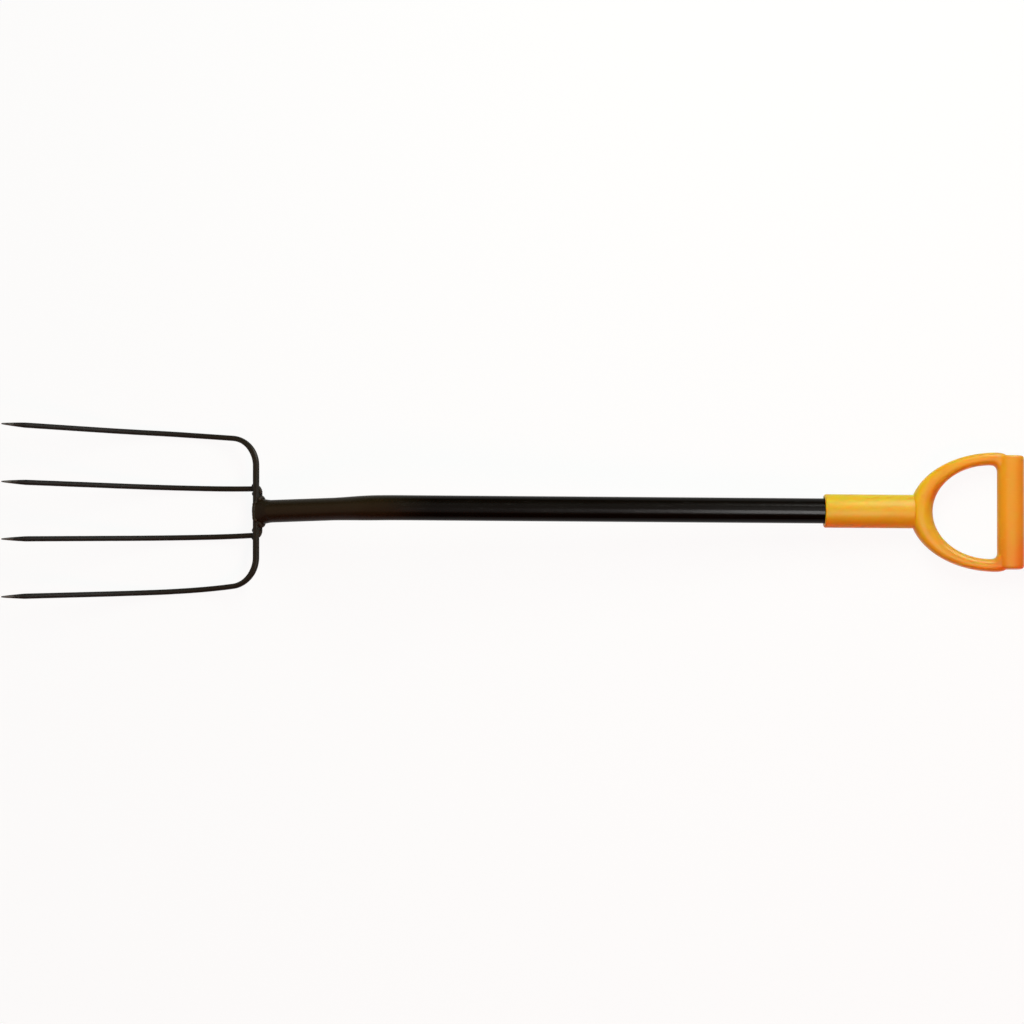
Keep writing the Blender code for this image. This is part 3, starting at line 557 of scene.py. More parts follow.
def skin(name, rings, material=None, closed=False, smooth_angle=radians(35)):
    """A mesh through rings of points: capped at both ends, or closed into a loop of rings."""
    made = bmesh.new()
    loops = [[made.verts.new(point) for point in ring] for ring in rings]
    count = len(loops[0])
    for near, far in zip(loops, loops[1:] + loops[:1] if closed else loops[1:]):
        for i in range(count):
            made.faces.new((near[i], near[(i + 1) % count], far[(i + 1) % count], far[i]))
    if not closed:
        made.faces.new(loops[0][::-1])
        made.faces.new(loops[-1])
    bmesh.ops.recalc_face_normals(made, faces=made.faces)
    mesh = bpy.data.meshes.new(name)
    made.to_mesh(mesh)
    made.free()
    mesh.shade_smooth()
    mesh.set_sharp_from_angle(angle=smooth_angle)
    if material:
        mesh.materials.append(material)
    return add_object(name, mesh)


def combine(thing, other, operation):
    """Joins or cuts an object with another, at once, and removes the other."""
    modifier = thing.modifiers.new(operation, "BOOLEAN")
    modifier.operation = operation
    modifier.solver = "EXACT"
    modifier.object = other
    mesh = modified_mesh(thing)
    thing.modifiers.remove(modifier)
    thing.data = mesh
    bpy.data.objects.remove(other)


distances = [FLATTENED_LENGTH * i / FINE_STEPS for i in range(1, FINE_COUNT + 1)]
fine_end = distances[-1]
coarse_end = crank_at + crank_tangent + PAST_CRANK
steps = ceil((coarse_end - fine_end) / TUBE_STEP)
distances += [mix(fine_end, coarse_end, i / steps) for i in range(1, steps + 1)]
distances.append(tube_length - LIP_ROUND)
bevel = LIP_ROUND * LIP_BEVEL
outside = [tube_ring(0, LIP_ROUND), tube_ring(bevel, bevel)] + [tube_ring(d) for d in distances]
outside.append(tube_ring(tube_length, LIP_ROUND))
inside = [tube_ring(0, TUBE_WALL - bevel)] + [tube_ring(d, TUBE_WALL) for d in distances]
tube = skin("cranked_tube", outside + inside[::-1], tube_coating(), closed=True)

notch_corner = BAR_DIAMETER / 2 + FIT_GAP
notch = [(NOTCH_CUT, notch_corner), (0, notch_corner)]
for degrees in range(5, 91, 5):
    notch.append((-notch_corner * sin(radians(degrees)), notch_corner * cos(radians(degrees))))
notch += [(forward, -BAR_STACK - up) for forward, up in notch[::-1]]
sides = [[head_point(forward, across, up) for forward, up in notch] for across in (-NOTCH_CUT, NOTCH_CUT)]
combine(tube, skin("notch_cutter", sides), "DIFFERENCE")
tube.data.set_sharp_from_angle(angle=TUBE_SHARP)
settle(tube, "shaft_tube")


# The weld beads: seven short rippled runs that hold the head together, one in the groove between the
# crossbars, one round each corner of the inner bow, one on each lip of the tube's mouth, and one down each
# side of it. They are under the same black paint.

BEAD_RADIUS = 0.0025
BEAD_STEP = 0.00035
BEAD_SIDES = 28
BEAD_END_SHARE = 1.3
BEAD_END_LEAST = 0.02
RIPPLE_PITCH = 0.0017
RIPPLE_DEPTH = 0.00045
RIPPLE_BOW = 0.55
RIPPLE_SINK = 0.6
RIPPLE_GRAINS_PER_METRE = 260.0
PATH_STEPS = 24
BEAD_STAND_OFF = 0.0034
GROOVE_BEAD = ((0.0034, 0.0, 0.0), (0.0034, 0.0170, 0.0), (0.0040, 0.0196, 0.0006), (0.0054, 0.0216, 0.0016),
               (0.0082, 0.0227, 0.0028))
CORNER_BEAD_FROM = 0.0206
CORNER_BEAD_TO = 0.0082
CORNER_BEAD_SINK = 0.0006
LIP_BEAD_RADIUS = 0.0021
LIP_BEAD_ADVANCE = 0.0003
LIP_BEAD_SINK = 0.0010
LIP_BEAD_LEVEL = 0.0083
LIP_BEAD_HALF_SPAN = 0.0084
LIP_CORNER = ((-0.0001, 0.0097), (-0.0017, 0.0109), (-0.0033, 0.0119))
SIDE_BEAD_HEIGHT = 0.0070
SIDE_BEAD_BACK = 0.0052
SIDE_BEAD_OUT = 0.0006
SIDE_BEAD_SQUARENESS = 5
WELD_BLACK = (0.0175, 0.0140, 0.0092, 1.0)
WELD_DULL = (0.0300, 0.0235, 0.0150, 1.0)


def weld_paint():
    """The bars' paint over a weld: coarser and duller, with pits of spatter."""
    paint = Finish("weld_paint", Specular_IOR_Level=PAINT_GLOSS)
    mottle = paint.noise(paint.place, 220.0, 4.0)
    inputs = {"Vector": paint.place, "Scale": 520.0}
    cells = paint.add("ShaderNodeTexVoronoi", {"feature": "SMOOTH_F1"}, inputs, "Distance")
    pits = cells.within(0.10, 0.34)
    paint.feed("Base Color", paint.blend(mottle, WELD_BLACK, WELD_DULL))
    paint.feed("Roughness", mottle * 0.22 + 0.38)
    paint.bump(pits * 0.5 + mottle, 0.00010)
    return paint.material


def swept_bead():
    """Sweeps a bead along a path and presses crescent ripples into it, like overlapping scales."""
    inputs = {"Sides": "Int", "Ripple_pitch": "Float", "Ripple_depth": "Float", "Seed": "Float"}
    work = Workings("swept_bead", **inputs, Material="Material")
    skin, from_axis = work.sweep()
    outward = work.vector("NORMALIZE", from_axis)
    facing = work.dot(outward, work.attribute("crown"))
    uneven = work.seeded_noise(RIPPLE_GRAINS_PER_METRE) - 0.5
    scale_number = work.attribute("along", "FLOAT") / work.given("Ripple_pitch")
    turn = (scale_number + facing * RIPPLE_BOW + uneven * 0.7) * pi
    ripple = abs(turn.sum("SINE", turn))
    height = (ripple - RIPPLE_SINK + uneven * 0.8) * work.given("Ripple_depth")
    work.end_moved(skin, work.scaled(outward, height))
    return work


def bead_stations(path, radius):
    """Evenly spaced stations along a path, with the bead rounded off at both ends."""
    lengths = [0.0]
    for near, far in zip(path, path[1:]):
        lengths.append(lengths[-1] + (far - near).length)
    total = lengths[-1]
    count = ceil(total / BEAD_STEP)
    stations = []
    leg = 0
    for i in range(count + 1):
        want = total * i / count
        while leg < len(path) - 2 and lengths[leg + 1] < want:
            leg += 1
        point = path[leg].lerp(path[leg + 1], (want - lengths[leg]) / (lengths[leg + 1] - lengths[leg]))
        from_end = min(want, total - want) / (radius * BEAD_END_SHARE)
        rounding = sqrt(max(BEAD_END_LEAST, 1 - (1 - min(1.0, from_end)) ** 2))
        stations.append((point, ACROSS, radius * rounding, radius * rounding))
    return stations


def smooth_path(path, rounds=3):
    """Rounds off a path's corners by cutting them, over and over."""
    for _ in range(rounds):
        cut = [path[0]]
        for near, far in zip(path, path[1:]):
            cut += [near.lerp(far, 0.25), near.lerp(far, 0.75)]
        path = cut + [path[-1]]
    return path


def groove_path():
    half = [(forward, across, -BAR_STACK / 2 - down) for forward, across, down in GROOVE_BEAD]
    left = [head_point(*point) for point in half]
    right = [head_point(forward, -across, up) for forward, across, up in half[:0:-1]]
    return smooth_path(right + left)


def corner_path(side):
    hug = INNER_CORNER_RADIUS + BEAD_STAND_OFF
    start = INNER_HALF_SPAN - INNER_CORNER_RADIUS
    plan = [(-BEAD_STAND_OFF, CORNER_BEAD_FROM)]
    for i in range(PATH_STEPS + 1):
        turn = pi / 2 * i / PATH_STEPS
        plan.append((INNER_CORNER_RADIUS - hug * cos(turn), start + hug * sin(turn)))
    plan.append((CORNER_BEAD_TO, start + hug))
    height = -BAR_STACK / 2 - CORNER_BEAD_SINK
    return [head_point(forward, side * across, height) for forward, across in plan]


def lip_path(lift):
    path = []
    for i in range(PATH_STEPS + 1):
        across = LIP_BEAD_HALF_SPAN * (2 * i / PATH_STEPS - 1)
        lip = MOUTH_HEIGHT / 2 * sqrt(1 - (2 * across / MOUTH_WIDTH) ** 2)
        height = max(lip - LIP_BEAD_SINK, LIP_BEAD_LEVEL)
        path.append(head_point(MOUTH_REACH + LIP_BEAD_ADVANCE, across, lift * height - BAR_STACK / 2))
    level = lift * LIP_BEAD_LEVEL - BAR_STACK / 2
    left = [head_point(forward, across, level) for forward, across in LIP_CORNER]
    right = [head_point(forward, -across, level) for forward, across in LIP_CORNER]
    return smooth_path(right[::-1] + path + left)


def side_path(side):
    path = []
    for i in range(PATH_STEPS + 1):
        height = mix(-SIDE_BEAD_HEIGHT, SIDE_BEAD_HEIGHT, i / PATH_STEPS)
        share = height / (MOUTH_HEIGHT / 2)
        back = SIDE_BEAD_BACK * sqrt(1 - abs(share) ** SIDE_BEAD_SQUARENESS)
        across = MOUTH_WIDTH / 2 * sqrt(1 - share**2) + SIDE_BEAD_OUT
        path.append(head_point(-back, side * across, height - BAR_STACK / 2))
    return path


beads = {
    "crossbar_bead": ("crossbar_weld", groove_path(), TO_TIPS, BEAD_RADIUS),
    "corner_bead_left": ("bow_weld_left", corner_path(1), (ACROSS - TO_TIPS).normalized(), BEAD_RADIUS),
    "corner_bead_right": ("bow_weld_right", corner_path(-1), (-ACROSS - TO_TIPS).normalized(), BEAD_RADIUS),
    "lip_bead_front": ("neck_weld_front", lip_path(1), (HEAD_UP + TO_TIPS).normalized(), LIP_BEAD_RADIUS),
    "lip_bead_back": ("neck_weld_back", lip_path(-1), (TO_TIPS - HEAD_UP).normalized(), LIP_BEAD_RADIUS),
    "side_bead_left": ("neck_weld_left", side_path(1), ACROSS, BEAD_RADIUS),
    "side_bead_right": ("neck_weld_right", side_path(-1), -ACROSS, BEAD_RADIUS),
}
bead_sweep = swept_bead()
dull_paint = weld_paint()
for number, (name, (node, path, crown, radius)) in enumerate(beads.items()):
    stations = bead_stations(path, radius)
    bead = path_object(name, stations, [crown] * len(stations))
    values = {"Sides": BEAD_SIDES, "Ripple_pitch": RIPPLE_PITCH, "Ripple_depth": RIPPLE_DEPTH}
    bead_sweep.on(bead, **values, Seed=float(number), Material=dull_paint)
    settle(bead, node)


# The handle: one hollow moulding of satin orange plastic. Its sleeve is pushed over the tube, and its flat
# yoke opens into two arms that carry the grip bar. A parting line runs round the middle of it and the mould
# gave it a fine grain. It is redder towards the bar, and painted shade deepens the orange along the bar's
# sides and near end, on the far slope of the yoke and under the near side of the sleeve.

SLEEVE_DIAMETER = 0.040
SLEEVE_LENGTH = 0.1072
SLEEVE_MOUTH_RADIUS = 0.0022
SLEEVE_SHOULDER_RADIUS = 0.0006
SLEEVE_SIDES = 128
SOCKET_LEAD_IN = 0.0008
GRIP_LENGTH = 0.1356
GRIP_END_RADIUS = 0.003
OPENING_P = 0.200
OPENING_REACH = 0.0693
OPENING_HALF_WIDTH = 0.056
YOKE_P = 0.2072
YOKE_REACH = 0.1039
YOKE_HALF_WIDTH = 0.0712
YOKE_HALF_THICKNESS = 0.0170
ARM_HALF_THICKNESS = 0.0118
OUTER_SQUARENESS = 3.2
YOKE_INNER_SQUARENESS = 1.6
ARM_INNER_SQUARENESS = 2.2
ARM_SIDES = 64
ARM_STEPS = 60
ARM_END_LENGTH = 0.012
ARM_END_INSET = 0.0005
ARM_FILLET_RADIUS = 0.007
ARM_THINNED_BY = 0.55
QUARTER_STEPS = 8
GRIP_CORNER_STEPS = 12
VOXEL = 0.0010
SOFTENINGS = 10
SOCKET_CUT = 0.002
LEAD_IN_LENGTH = 0.0012
HANDLE_SHARP = radians(38)
HANDLE_ORANGE = (0.695, 0.462, 0.013, 1.0)
HANDLE_DEEP_ORANGE = (0.670, 0.395, 0.009, 1.0)
TOWARDS_BAR_ORANGE = (0.685, 0.360, 0.010, 1.0)  # towards the bar
# painted shade: the deeper red orange where the light falls off
PAINTED_SHADE_ORANGE = (0.655, 0.195, 0.008, 1.0)
RUBBED_ORANGE = (0.710, 0.485, 0.030, 1.0)
PARTING_FADE = (0.00005, 0.00032)  # from the middle plane
# Where the colours change: along the fork from its middle, or across it towards the far or the near side.
TOWARDS_BAR_FADE = (0.472, 0.585)
GRIP_FADE = (0.560, 0.590)
GRIP_SIDE_FADE = (0.001, 0.011)  # from the bar's middle line
GRIP_NEAR_FADE = (-0.010, 0.065)
YOKE_END_FADE = (0.500, 0.545)
YOKE_SLOPE_FADE = (1.15, 1.78)  # out from the rim of the opening, where it is 1
YOKE_SHADE_START_FADE = (0.002, 0.020)
YOKE_SHADE_END_FADE = (0.026, 0.056)
SLEEVE_END_FADE = (0.430, 0.475)
SLEEVE_NEAR_FADE = (0.010, 0.019)


def painted_shade_share(plastic, along, far):
    """How much painted shade the plastic gets: beside the bar and at its near end, in the yoke, and under the
    sleeve.
    """
    near = 0 - far
    # painted shade along the bar's sides and at its near end
    at_end = near.within(*GRIP_NEAR_FADE)
    beside = abs(along - grip_middle.x).within(*GRIP_SIDE_FADE)
    grip = (beside * (at_end * 0.40 + 0.20) + at_end * at_end * 0.30) * along.within(*GRIP_FADE)
    from_opening = plastic.dot(plastic.place, SHAFT_AHEAD) - (sleeve_mouth.dot(SHAFT_AHEAD) + OPENING_P)
    ahead = from_opening / OPENING_REACH
    sideways = far / OPENING_HALF_WIDTH
    slope = 1 - (ahead * ahead + sideways * sideways).within(*YOKE_SLOPE_FADE)
    # painted shade on the far side of the yoke's inner slope
    yoke_shade = far.within(*YOKE_SHADE_START_FADE) * (1 - far.within(*YOKE_SHADE_END_FADE)) * slope
    yoke_shade = yoke_shade * (1 - along.within(*YOKE_END_FADE))
    # painted shade under the near side of the sleeve
    underside_shade = near.within(*SLEEVE_NEAR_FADE) * (1 - along.within(*SLEEVE_END_FADE))
    return grip + yoke_shade * 0.55 + underside_shade * 0.5


def orange_plastic():
    """Satin moulded plastic: uneven, redder towards the bar, with painted shade, a parting line and light
    rubbing.
    """
    plastic = Finish("orange_plastic", Specular_IOR_Level=0.125, Subsurface_Weight=0.8,
                     Subsurface_Radius=(1.0, 0.22, 0.06), Subsurface_Scale=0.011)
    cloud = plastic.noise(plastic.place, 18.0, 3.0)
    grain = plastic.noise(plastic.place, 1500.0, 2.0)
    marks = plastic.stretched_noise(plastic.place, (60.0, 240.0, 240.0), 5.0).within(0.60, 0.80)
    from_line = abs(plastic.dot(plastic.place, SHAFT_UP) - sleeve_mouth.dot(SHAFT_UP))
    parting = 1 - from_line.within(*PARTING_FADE)
    along = plastic.dot(plastic.place, (1, 0, 0))
    far = plastic.dot(plastic.place, ACROSS)
    colour = plastic.blend(cloud.within(0.3, 0.7) * 0.55, HANDLE_ORANGE, HANDLE_DEEP_ORANGE)
    colour = plastic.blend((along + cloud * 0.02).within(*TOWARDS_BAR_FADE), colour, TOWARDS_BAR_ORANGE)
    # painted shade, blended over the plastic's colour
    colour = plastic.blend(painted_shade_share(plastic, along, far), colour, PAINTED_SHADE_ORANGE)
    colour = plastic.blend(marks * 0.35, colour, RUBBED_ORANGE)
    plastic.feed("Base Color", plastic.blend(parting * 0.25, colour, HANDLE_DEEP_ORANGE))
    plastic.feed("Roughness", cloud * 0.08 + marks * 0.08 + 0.38)
    plastic.bump(grain * 0.35 + parting * 1.6 - marks * 0.10, 0.00010)
    return plastic.material


def handle_point(p, across, q):
    """A point along the handle from the sleeve's mouth, across it, and up from its axis."""
    return sleeve_mouth + SHAFT_AHEAD * p + ACROSS * across + SHAFT_UP * q


def arm_ring(near, far, half_thickness, inner_squareness):
    """The section of the D between its inner and outer edge: sloped towards the hand, squarer outside."""
    middle = (near + far) / 2
    ring = []
    for i in range(ARM_SIDES):
        turn = 2 * pi * i / ARM_SIDES
        squareness = OUTER_SQUARENESS if cos(turn) >= 0 else inner_squareness
        x = abs(cos(turn)) ** (2 / squareness) * (1 if cos(turn) >= 0 else -1)
        y = abs(sin(turn)) ** (2 / squareness) * (1 if sin(turn) >= 0 else -1)
        ring.append(middle + (far - middle) * x + SHAFT_UP * (half_thickness * y))
    return ring


def arm_half():
    """From the yoke to one end of the grip: inner edge, outer edge, half thickness, inner squareness."""
    half = []
    end_turn = acos((YOKE_P - OPENING_P) / YOKE_REACH)
    for i in range(ARM_STEPS + 1):
        share = i / ARM_STEPS
        inner = (OPENING_P - OPENING_REACH * cos(share * pi / 2), OPENING_HALF_WIDTH * sin(share * pi / 2))
        outer = (YOKE_P - YOKE_REACH * cos(share * end_turn), YOKE_HALF_WIDTH * sin(share * end_turn))
        thinned = smooth_step(share, 0.0, ARM_THINNED_BY)
        thickness = mix(YOKE_HALF_THICKNESS, ARM_HALF_THICKNESS, thinned)
        half.append((inner, outer, thickness, mix(YOKE_INNER_SQUARENESS, ARM_INNER_SQUARENESS, thinned)))
    fillet_p = GRIP_P - GRIP_WIDTH / 2 - ARM_FILLET_RADIUS
    for degrees in range(14, 90, 8):
        turn = radians(degrees)
        p = fillet_p + ARM_FILLET_RADIUS * sin(turn)
        inner = (p, OPENING_HALF_WIDTH - ARM_FILLET_RADIUS * (1 - cos(turn)))
        outer = (p, YOKE_HALF_WIDTH * sqrt(1 - ((YOKE_P - p) / YOKE_REACH) ** 2))
        half.append((inner, outer, ARM_HALF_THICKNESS, ARM_INNER_SQUARENESS))
    for degrees in range(10, 91, 10):
        turn = radians(degrees)
        p = YOKE_P + ARM_END_LENGTH * sin(turn)
        outer = (p, mix(GRIP_LENGTH / 2 - ARM_END_INSET, YOKE_HALF_WIDTH, cos(turn)))
        inner = (p, OPENING_HALF_WIDTH - ARM_FILLET_RADIUS)
        half.append((inner, outer, ARM_HALF_THICKNESS, ARM_INNER_SQUARENESS))
    return half


half = arm_half()
mirrored = [((a, -b), (c, -d), thickness, square) for (a, b), (c, d), thickness, square in half[:0:-1]]
rings = []
for inner, outer, thickness, square in mirrored + half:
    rings.append(arm_ring(handle_point(*inner, 0), handle_point(*outer, 0), thickness, square))
yoke = skin("moulded_handle", rings)

quarter = [radians(90 * i / QUARTER_STEPS) for i in range(QUARTER_STEPS + 1)]
stations = []
for turn in quarter:
    across = GRIP_LENGTH / 2 - GRIP_END_RADIUS * (1 - cos(turn))
    stations.append((across, GRIP_END_RADIUS * (1 - sin(turn))))
stations = [(-across, inset) for across, inset in stations] + stations[::-1]
rings = []
for across, inset in stations:
    ring = []
    for corner, (side_p, side_q) in enumerate(((1, 1), (-1, 1), (-1, -1), (1, -1))):
        for i in range(GRIP_CORNER_STEPS + 1):
            turn = radians(90 * corner + 90 * i / GRIP_CORNER_STEPS)
            radius = GRIP_CORNER_RADIUS - inset
            p = GRIP_P + side_p * half_flat_p + radius * cos(turn)
            ring.append(handle_point(p, across, side_q * half_flat_q + radius * sin(turn)))
    rings.append(ring)
combine(yoke, skin("grip", rings), "UNION")

remesh = yoke.modifiers.new("remesh", "REMESH")
remesh.mode = "VOXEL"
remesh.voxel_size = VOXEL
soften = yoke.modifiers.new("soften", "SMOOTH")
soften.factor = 0.5
soften.iterations = SOFTENINGS
softened = modified_mesh(yoke)
yoke.modifiers.clear()
yoke.data = softened


def sleeve_rings(profile):
    """Rings about the handle's axis; the profile runs along it as (p, radius)."""
    turns = [2 * pi * i / SLEEVE_SIDES for i in range(SLEEVE_SIDES)]
    return [[handle_point(p, radius * cos(t), radius * sin(t)) for t in turns] for p, radius in profile]


mouth = []
shoulder = []
for turn in quarter:
    from_mouth = SLEEVE_MOUTH_RADIUS * (1 - cos(turn))
    mouth.append((from_mouth, SLEEVE_DIAMETER / 2 - SLEEVE_MOUTH_RADIUS * (1 - sin(turn))))
    p = SLEEVE_LENGTH - SLEEVE_SHOULDER_RADIUS * (1 - sin(turn))
    shoulder.append((p, SLEEVE_DIAMETER / 2 - SLEEVE_SHOULDER_RADIUS * (1 - cos(turn))))
bore = TUBE_DIAMETER / 2 + FIT_GAP
socket = [(-SOCKET_CUT, bore + SOCKET_LEAD_IN), (0, bore + SOCKET_LEAD_IN)]
socket += [(LEAD_IN_LENGTH, bore), (SOCKET_DEPTH, bore)]
combine(yoke, skin("sleeve", sleeve_rings(mouth + shoulder)), "UNION")
combine(yoke, skin("socket", sleeve_rings(socket)), "DIFFERENCE")


# The screw: a zinc-plated pan head with a cross recess, sunk in the hidden side of the sleeve, where it
# goes through the plastic and the tube's wall and keeps the handle on.

SCREW_P = 0.062
SCREW_RECESS_DEPTH = 0.0030
SCREW_HEAD_RADIUS = 0.00425
SCREW_HEAD_HEIGHT = 0.0024
SCREW_SHANK_RADIUS = 0.0021
SCREW_LENGTH = 0.0120
SCREW_SIDES = 64
SCREW_FLAT_SHARE = 0.55
SCREW_DOME_HEIGHT = 0.0011
SCREW_CENTRE_RADIUS = 0.0006
SCREW_TIP_SHARE = 0.2
SCREW_HOLE_DEPTH = 0.009
SCREW_HOLE_CUT = 0.004
SCREW_SHARP = radians(30)
CROSS_REACH = 0.0022
CROSS_WIDTH = 0.0011
CROSS_DEPTH = 0.0013
THREAD_PITCH = 0.0014
THREAD_FROM_HEAD = 0.0010
THREAD_FROM_TIP = 0.003
THREAD_ROOT_SHARE = 0.78
THREAD_NECK_SHARE = 0.8
ZINC = (0.56, 0.57, 0.58, 1.0)
ZINC_DULL = (0.42, 0.42, 0.41, 1.0)


def zinc_plate():
    """Bright zinc plate: a faint crystal mottle and fine turning marks."""
    plate = Finish("zinc_plate", Metallic=1.0)
    mottle = plate.noise(plate.place, 900.0, 4.0)
    turning_marks = plate.stretched_noise(plate.place, (3000.0, 3000.0, 9000.0), 2.0)
    plate.feed("Base Color", plate.blend(mottle, ZINC, ZINC_DULL))
    plate.feed("Roughness", mottle * 0.25 + 0.2)
    plate.bump(turning_marks, 0.00002)
    return plate.material


def screw_rings(profile):
    """Rings about the screw's axis; the profile is (depth from the sleeve's skin, radius)."""
    rings = []
    turns = [2 * pi * i / SCREW_SIDES for i in range(SCREW_SIDES)]
    for depth, radius in profile:
        q = depth - SLEEVE_DIAMETER / 2
        rings.append([handle_point(SCREW_P + radius * cos(t), radius * sin(t), q) for t in turns])
    return rings


head_hole = SCREW_HEAD_RADIUS + FIT_GAP
shank_hole = SCREW_SHANK_RADIUS + FIT_GAP
hole = [(-SCREW_HOLE_CUT, head_hole), (SCREW_RECESS_DEPTH, head_hole)]
hole += [(SCREW_RECESS_DEPTH, shank_hole), (SCREW_HOLE_DEPTH, shank_hole)]
combine(yoke, skin("screw_hole", screw_rings(hole)), "DIFFERENCE")
yoke.data.materials.clear()
yoke.data.materials.append(orange_plastic())
yoke.data.shade_smooth()
yoke.data.set_sharp_from_angle(angle=HANDLE_SHARP)
settle(yoke, "d_handle")

seat = SCREW_RECESS_DEPTH - FIT_GAP
top = seat - SCREW_HEAD_HEIGHT
profile = [(top, SCREW_CENTRE_RADIUS), (top, SCREW_HEAD_RADIUS * SCREW_FLAT_SHARE)]
for turn in quarter[1:]:
    share = mix(SCREW_FLAT_SHARE, 1.0, sin(turn))
    profile.append((top + SCREW_DOME_HEIGHT * (1 - cos(turn)), SCREW_HEAD_RADIUS * share))
profile += [(seat, SCREW_HEAD_RADIUS), (seat, SCREW_SHANK_RADIUS * THREAD_NECK_SHARE)]
thread_start = seat + THREAD_FROM_HEAD
thread_end = seat + SCREW_LENGTH - THREAD_FROM_TIP
rows = ceil((thread_end - thread_start) / THREAD_PITCH) * 2
for i in range(rows + 1):
    share = 1.0 if i % 2 else THREAD_ROOT_SHARE
    profile.append((mix(thread_start, thread_end, i / rows), SCREW_SHANK_RADIUS * share))
profile.append((seat + SCREW_LENGTH, SCREW_SHANK_RADIUS * SCREW_TIP_SHARE))
screw = skin("sleeve_screw", screw_rings(profile), zinc_plate(), smooth_angle=SCREW_SHARP)
for turn in (0, pi / 2):
    made = bmesh.new()
    bmesh.ops.create_cube(made, size=1.0)
    axes = Matrix((SHAFT_AHEAD, ACROSS, SHAFT_UP)).transposed().to_4x4()
    size = Matrix.Diagonal((2 * CROSS_REACH, CROSS_WIDTH, 2 * CROSS_DEPTH, 1))
    spot = Matrix.Translation(handle_point(SCREW_P, 0, top - SLEEVE_DIAMETER / 2))
    made.transform(spot @ axes @ Matrix.Rotation(turn, 4, "Z") @ size)
    mesh = bpy.data.meshes.new("cross")
    made.to_mesh(mesh)
    made.free()
    combine(screw, add_object("cross", mesh), "DIFFERENCE")
settle(screw, "handle_screw")


# The floor: a wide pale sheet that runs out of sight, with the fork's soft shadow on it. The camera sees
# most of its own white, so that it is white without more light on the fork.

FLOOR_HALF_SIZE = 30.0
FLOOR_DROP = 0.0004
FLOOR_WHITE = (0.80, 0.80, 0.80, 1.0)
FLOOR_OWN_WHITE = 0.93
WHITE = (1, 1, 1, 1)


def seen_directly(nodes):
    """1 for the rays of the camera, of gloss and of clear materials, and 0 for those that carry light."""
    paths = nodes.tree.nodes.new("ShaderNodeLightPath")
    labels = ("Is Camera Ray", "Is Glossy Ray", "Is Transmission Ray")
    camera_ray, gloss_ray, clear_ray = (Value(nodes, paths.outputs[label]) for label in labels)
    return camera_ray.sum("MAXIMUM", camera_ray, gloss_ray.sum("MAXIMUM", gloss_ray, clear_ray))


floor_mesh = bpy.data.meshes.new("floor")
signs = ((-1, -1), (1, -1), (1, 1), (-1, 1))
corners = [(x * FLOOR_HALF_SIZE, y * FLOOR_HALF_SIZE, -FLOOR_DROP) for x, y in signs]
floor_mesh.from_pydata(corners, [], [(0, 1, 2, 3)])
floor_sheet = Finish("floor_white", Base_Color=FLOOR_WHITE, Specular_IOR_Level=0.0)
floor_sheet.feed("Roughness", floor_sheet.noise(floor_sheet.place, 300.0, 2.0) * 0.05 + 0.85)
glow = floor_sheet.add("ShaderNodeEmission", None, {"Color": WHITE, "Strength": 1.0})
lit = Value(floor_sheet, floor_sheet.shader.outputs[0])
inputs = {0: seen_directly(floor_sheet) * FLOOR_OWN_WHITE, 1: lit, 2: glow}
shown = floor_sheet.add("ShaderNodeMixShader", None, inputs)
floor_sheet.tree.links.new(shown.socket, floor_sheet.tree.nodes["Material Output"].inputs["Surface"])
floor_mesh.materials.append(floor_sheet.material)
floor = add_object("floor", floor_mesh)


# The cards: a long black card stands on each side, as in a studio. Only gloss shows them, as the dark bands
# along the tube.

CARD_AWAY = 3.2
CARD_HEIGHT = 3.5
CARD_HALF_LENGTH = 4.0
CARD_BLACK = (0.004, 0.004, 0.004, 1.0)

card_black = Finish("card_black", Base_Color=CARD_BLACK, Roughness=0.9, Specular_IOR_Level=0.0)
for side in (-1, 1):
    card_mesh = bpy.data.meshes.new("card")
    places = [(-CARD_HALF_LENGTH, 0.0), (CARD_HALF_LENGTH, 0.0)]
    places += [(CARD_HALF_LENGTH, CARD_HEIGHT), (-CARD_HALF_LENGTH, CARD_HEIGHT)]
    card_mesh.from_pydata([(x, side * CARD_AWAY, z) for x, z in places], [], [(0, 1, 2, 3)])
    card_mesh.materials.append(card_black.material)
    card = add_object("card", card_mesh)
    card.visible_camera = False
    card.visible_diffuse = False
    card.visible_shadow = False


# The light: four soft lamps for the matt surfaces, a pale one on the far side, one overhead and warm ones on
# the near side and beyond the handle; four that only show in gloss, as the highlights along the tube; and a
# dim, warm room.

ROOM_LEVEL = 0.13
ROOM_WARMTH = (1.0, 0.44, 0.27, 1.0)

world = bpy.data.worlds.new("room")
world.use_nodes = True
room = Nodes(world.node_tree)
background = world.node_tree.nodes["Background"]
looked_at = seen_directly(room)
room.tree.links.new((looked_at * (1 - ROOM_LEVEL) + ROOM_LEVEL).socket, background.inputs["Strength"])
room.tree.links.new(room.blend(looked_at, ROOM_WARMTH, WHITE).socket, background.inputs["Color"])
bpy.context.scene.world = world


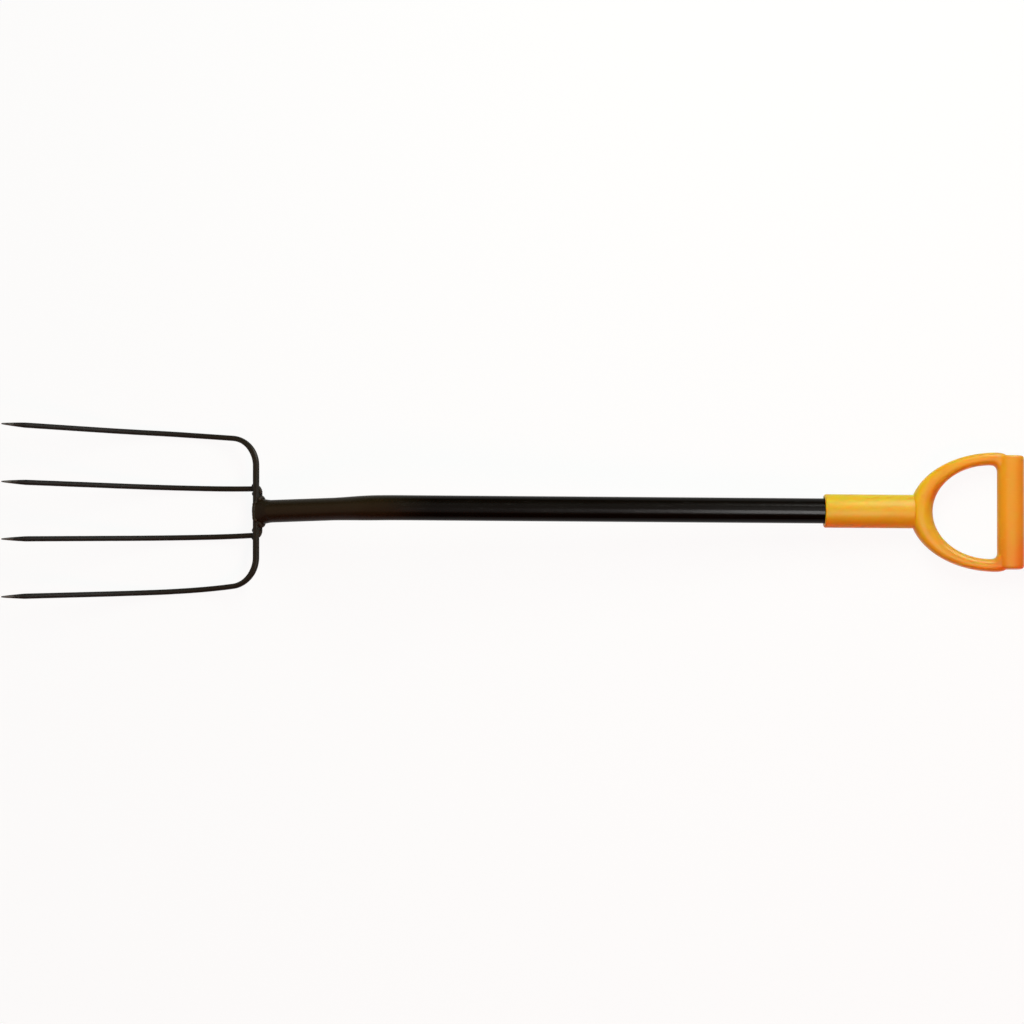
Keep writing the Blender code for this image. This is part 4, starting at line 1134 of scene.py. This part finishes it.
def soft_light(name, place, aim, width, depth, power, colour, lights):
    """An area lamp that only lights matt surfaces, or only shows in gloss."""
    lamp = bpy.data.lights.new(name, "AREA")
    lamp.shape = "RECTANGLE"
    lamp.size = width
    lamp.size_y = depth
    lamp.energy = power
    lamp.color = colour
    made = add_object(name, lamp)
    made.location = place
    made.rotation_euler = (Vector(aim) - Vector(place)).to_track_quat("-Z", "Y").to_euler()
    made.visible_glossy = lights == "gloss"
    made.visible_diffuse = lights == "matt"


soft_light("key", (0.34, 1.00, 1.30), (0.44, 0, 0), 0.5, 1.2, 27, (0.78, 1.0, 0.84), "matt")
soft_light("top", (0.40, 0.1, 2.8), (0.40, 0, 0), 0.5, 1.6, 6, (0.95, 1, 0.9), "matt")
soft_light("fill", (0.48, -2.00, 2.8), (0.48, 0, 0), 0.5, 1.0, 46, (1.0, 0.15, 0.05), "matt")
soft_light("side", (1.50, -0.30, 0.90), (0.52, 0, 0), 0.4, 0.8, 3.4, (1.0, 0.12, 0.04), "matt")
soft_light("softbox", (1.32, 1.45, 0.95), (0.42, 0, 0), 0.9, 1.2, 118, (1, 1, 0.97), "gloss")
soft_light("strip", (0.75, -0.54, 1.65), (0.75, 0, 0), 0.17, 0.85, 27, (1, 1, 1), "gloss")
soft_light("glow", (0.78, 0.35, 1.65), (0.78, 0, 0), 0.25, 0.9, 3, (1, 1, 1), "gloss")
soft_light("warm", (-2.0, 0.5, 1.3), (-0.25, 0.5, 0), 3.6, 1.2, 20, (1.0, 0.72, 0.42), "gloss")


# The camera: a very long lens almost straight above, tilted four degrees towards the near side. The fork
# fills the picture from edge to edge.

LENS = 600.0
SENSOR = 36.0
VIEW_WIDTH = 1.2228
ELEVATION = radians(86.0)
AIM = Vector((-0.00102, 0.00117, 0.004))

camera = bpy.data.cameras.new("camera")
camera.lens = LENS
camera.sensor_width = SENSOR
camera.clip_start = 0.1
camera.clip_end = 100.0
back = Vector((0, -cos(ELEVATION), sin(ELEVATION)))
eye = add_object("camera", camera)
eye.location = AIM + back * (VIEW_WIDTH * LENS / SENSOR)
eye.rotation_euler = (-back).to_track_quat("-Z", "Y").to_euler()
bpy.context.scene.camera = eye
bpy.context.scene.view_settings.view_transform = "Standard"
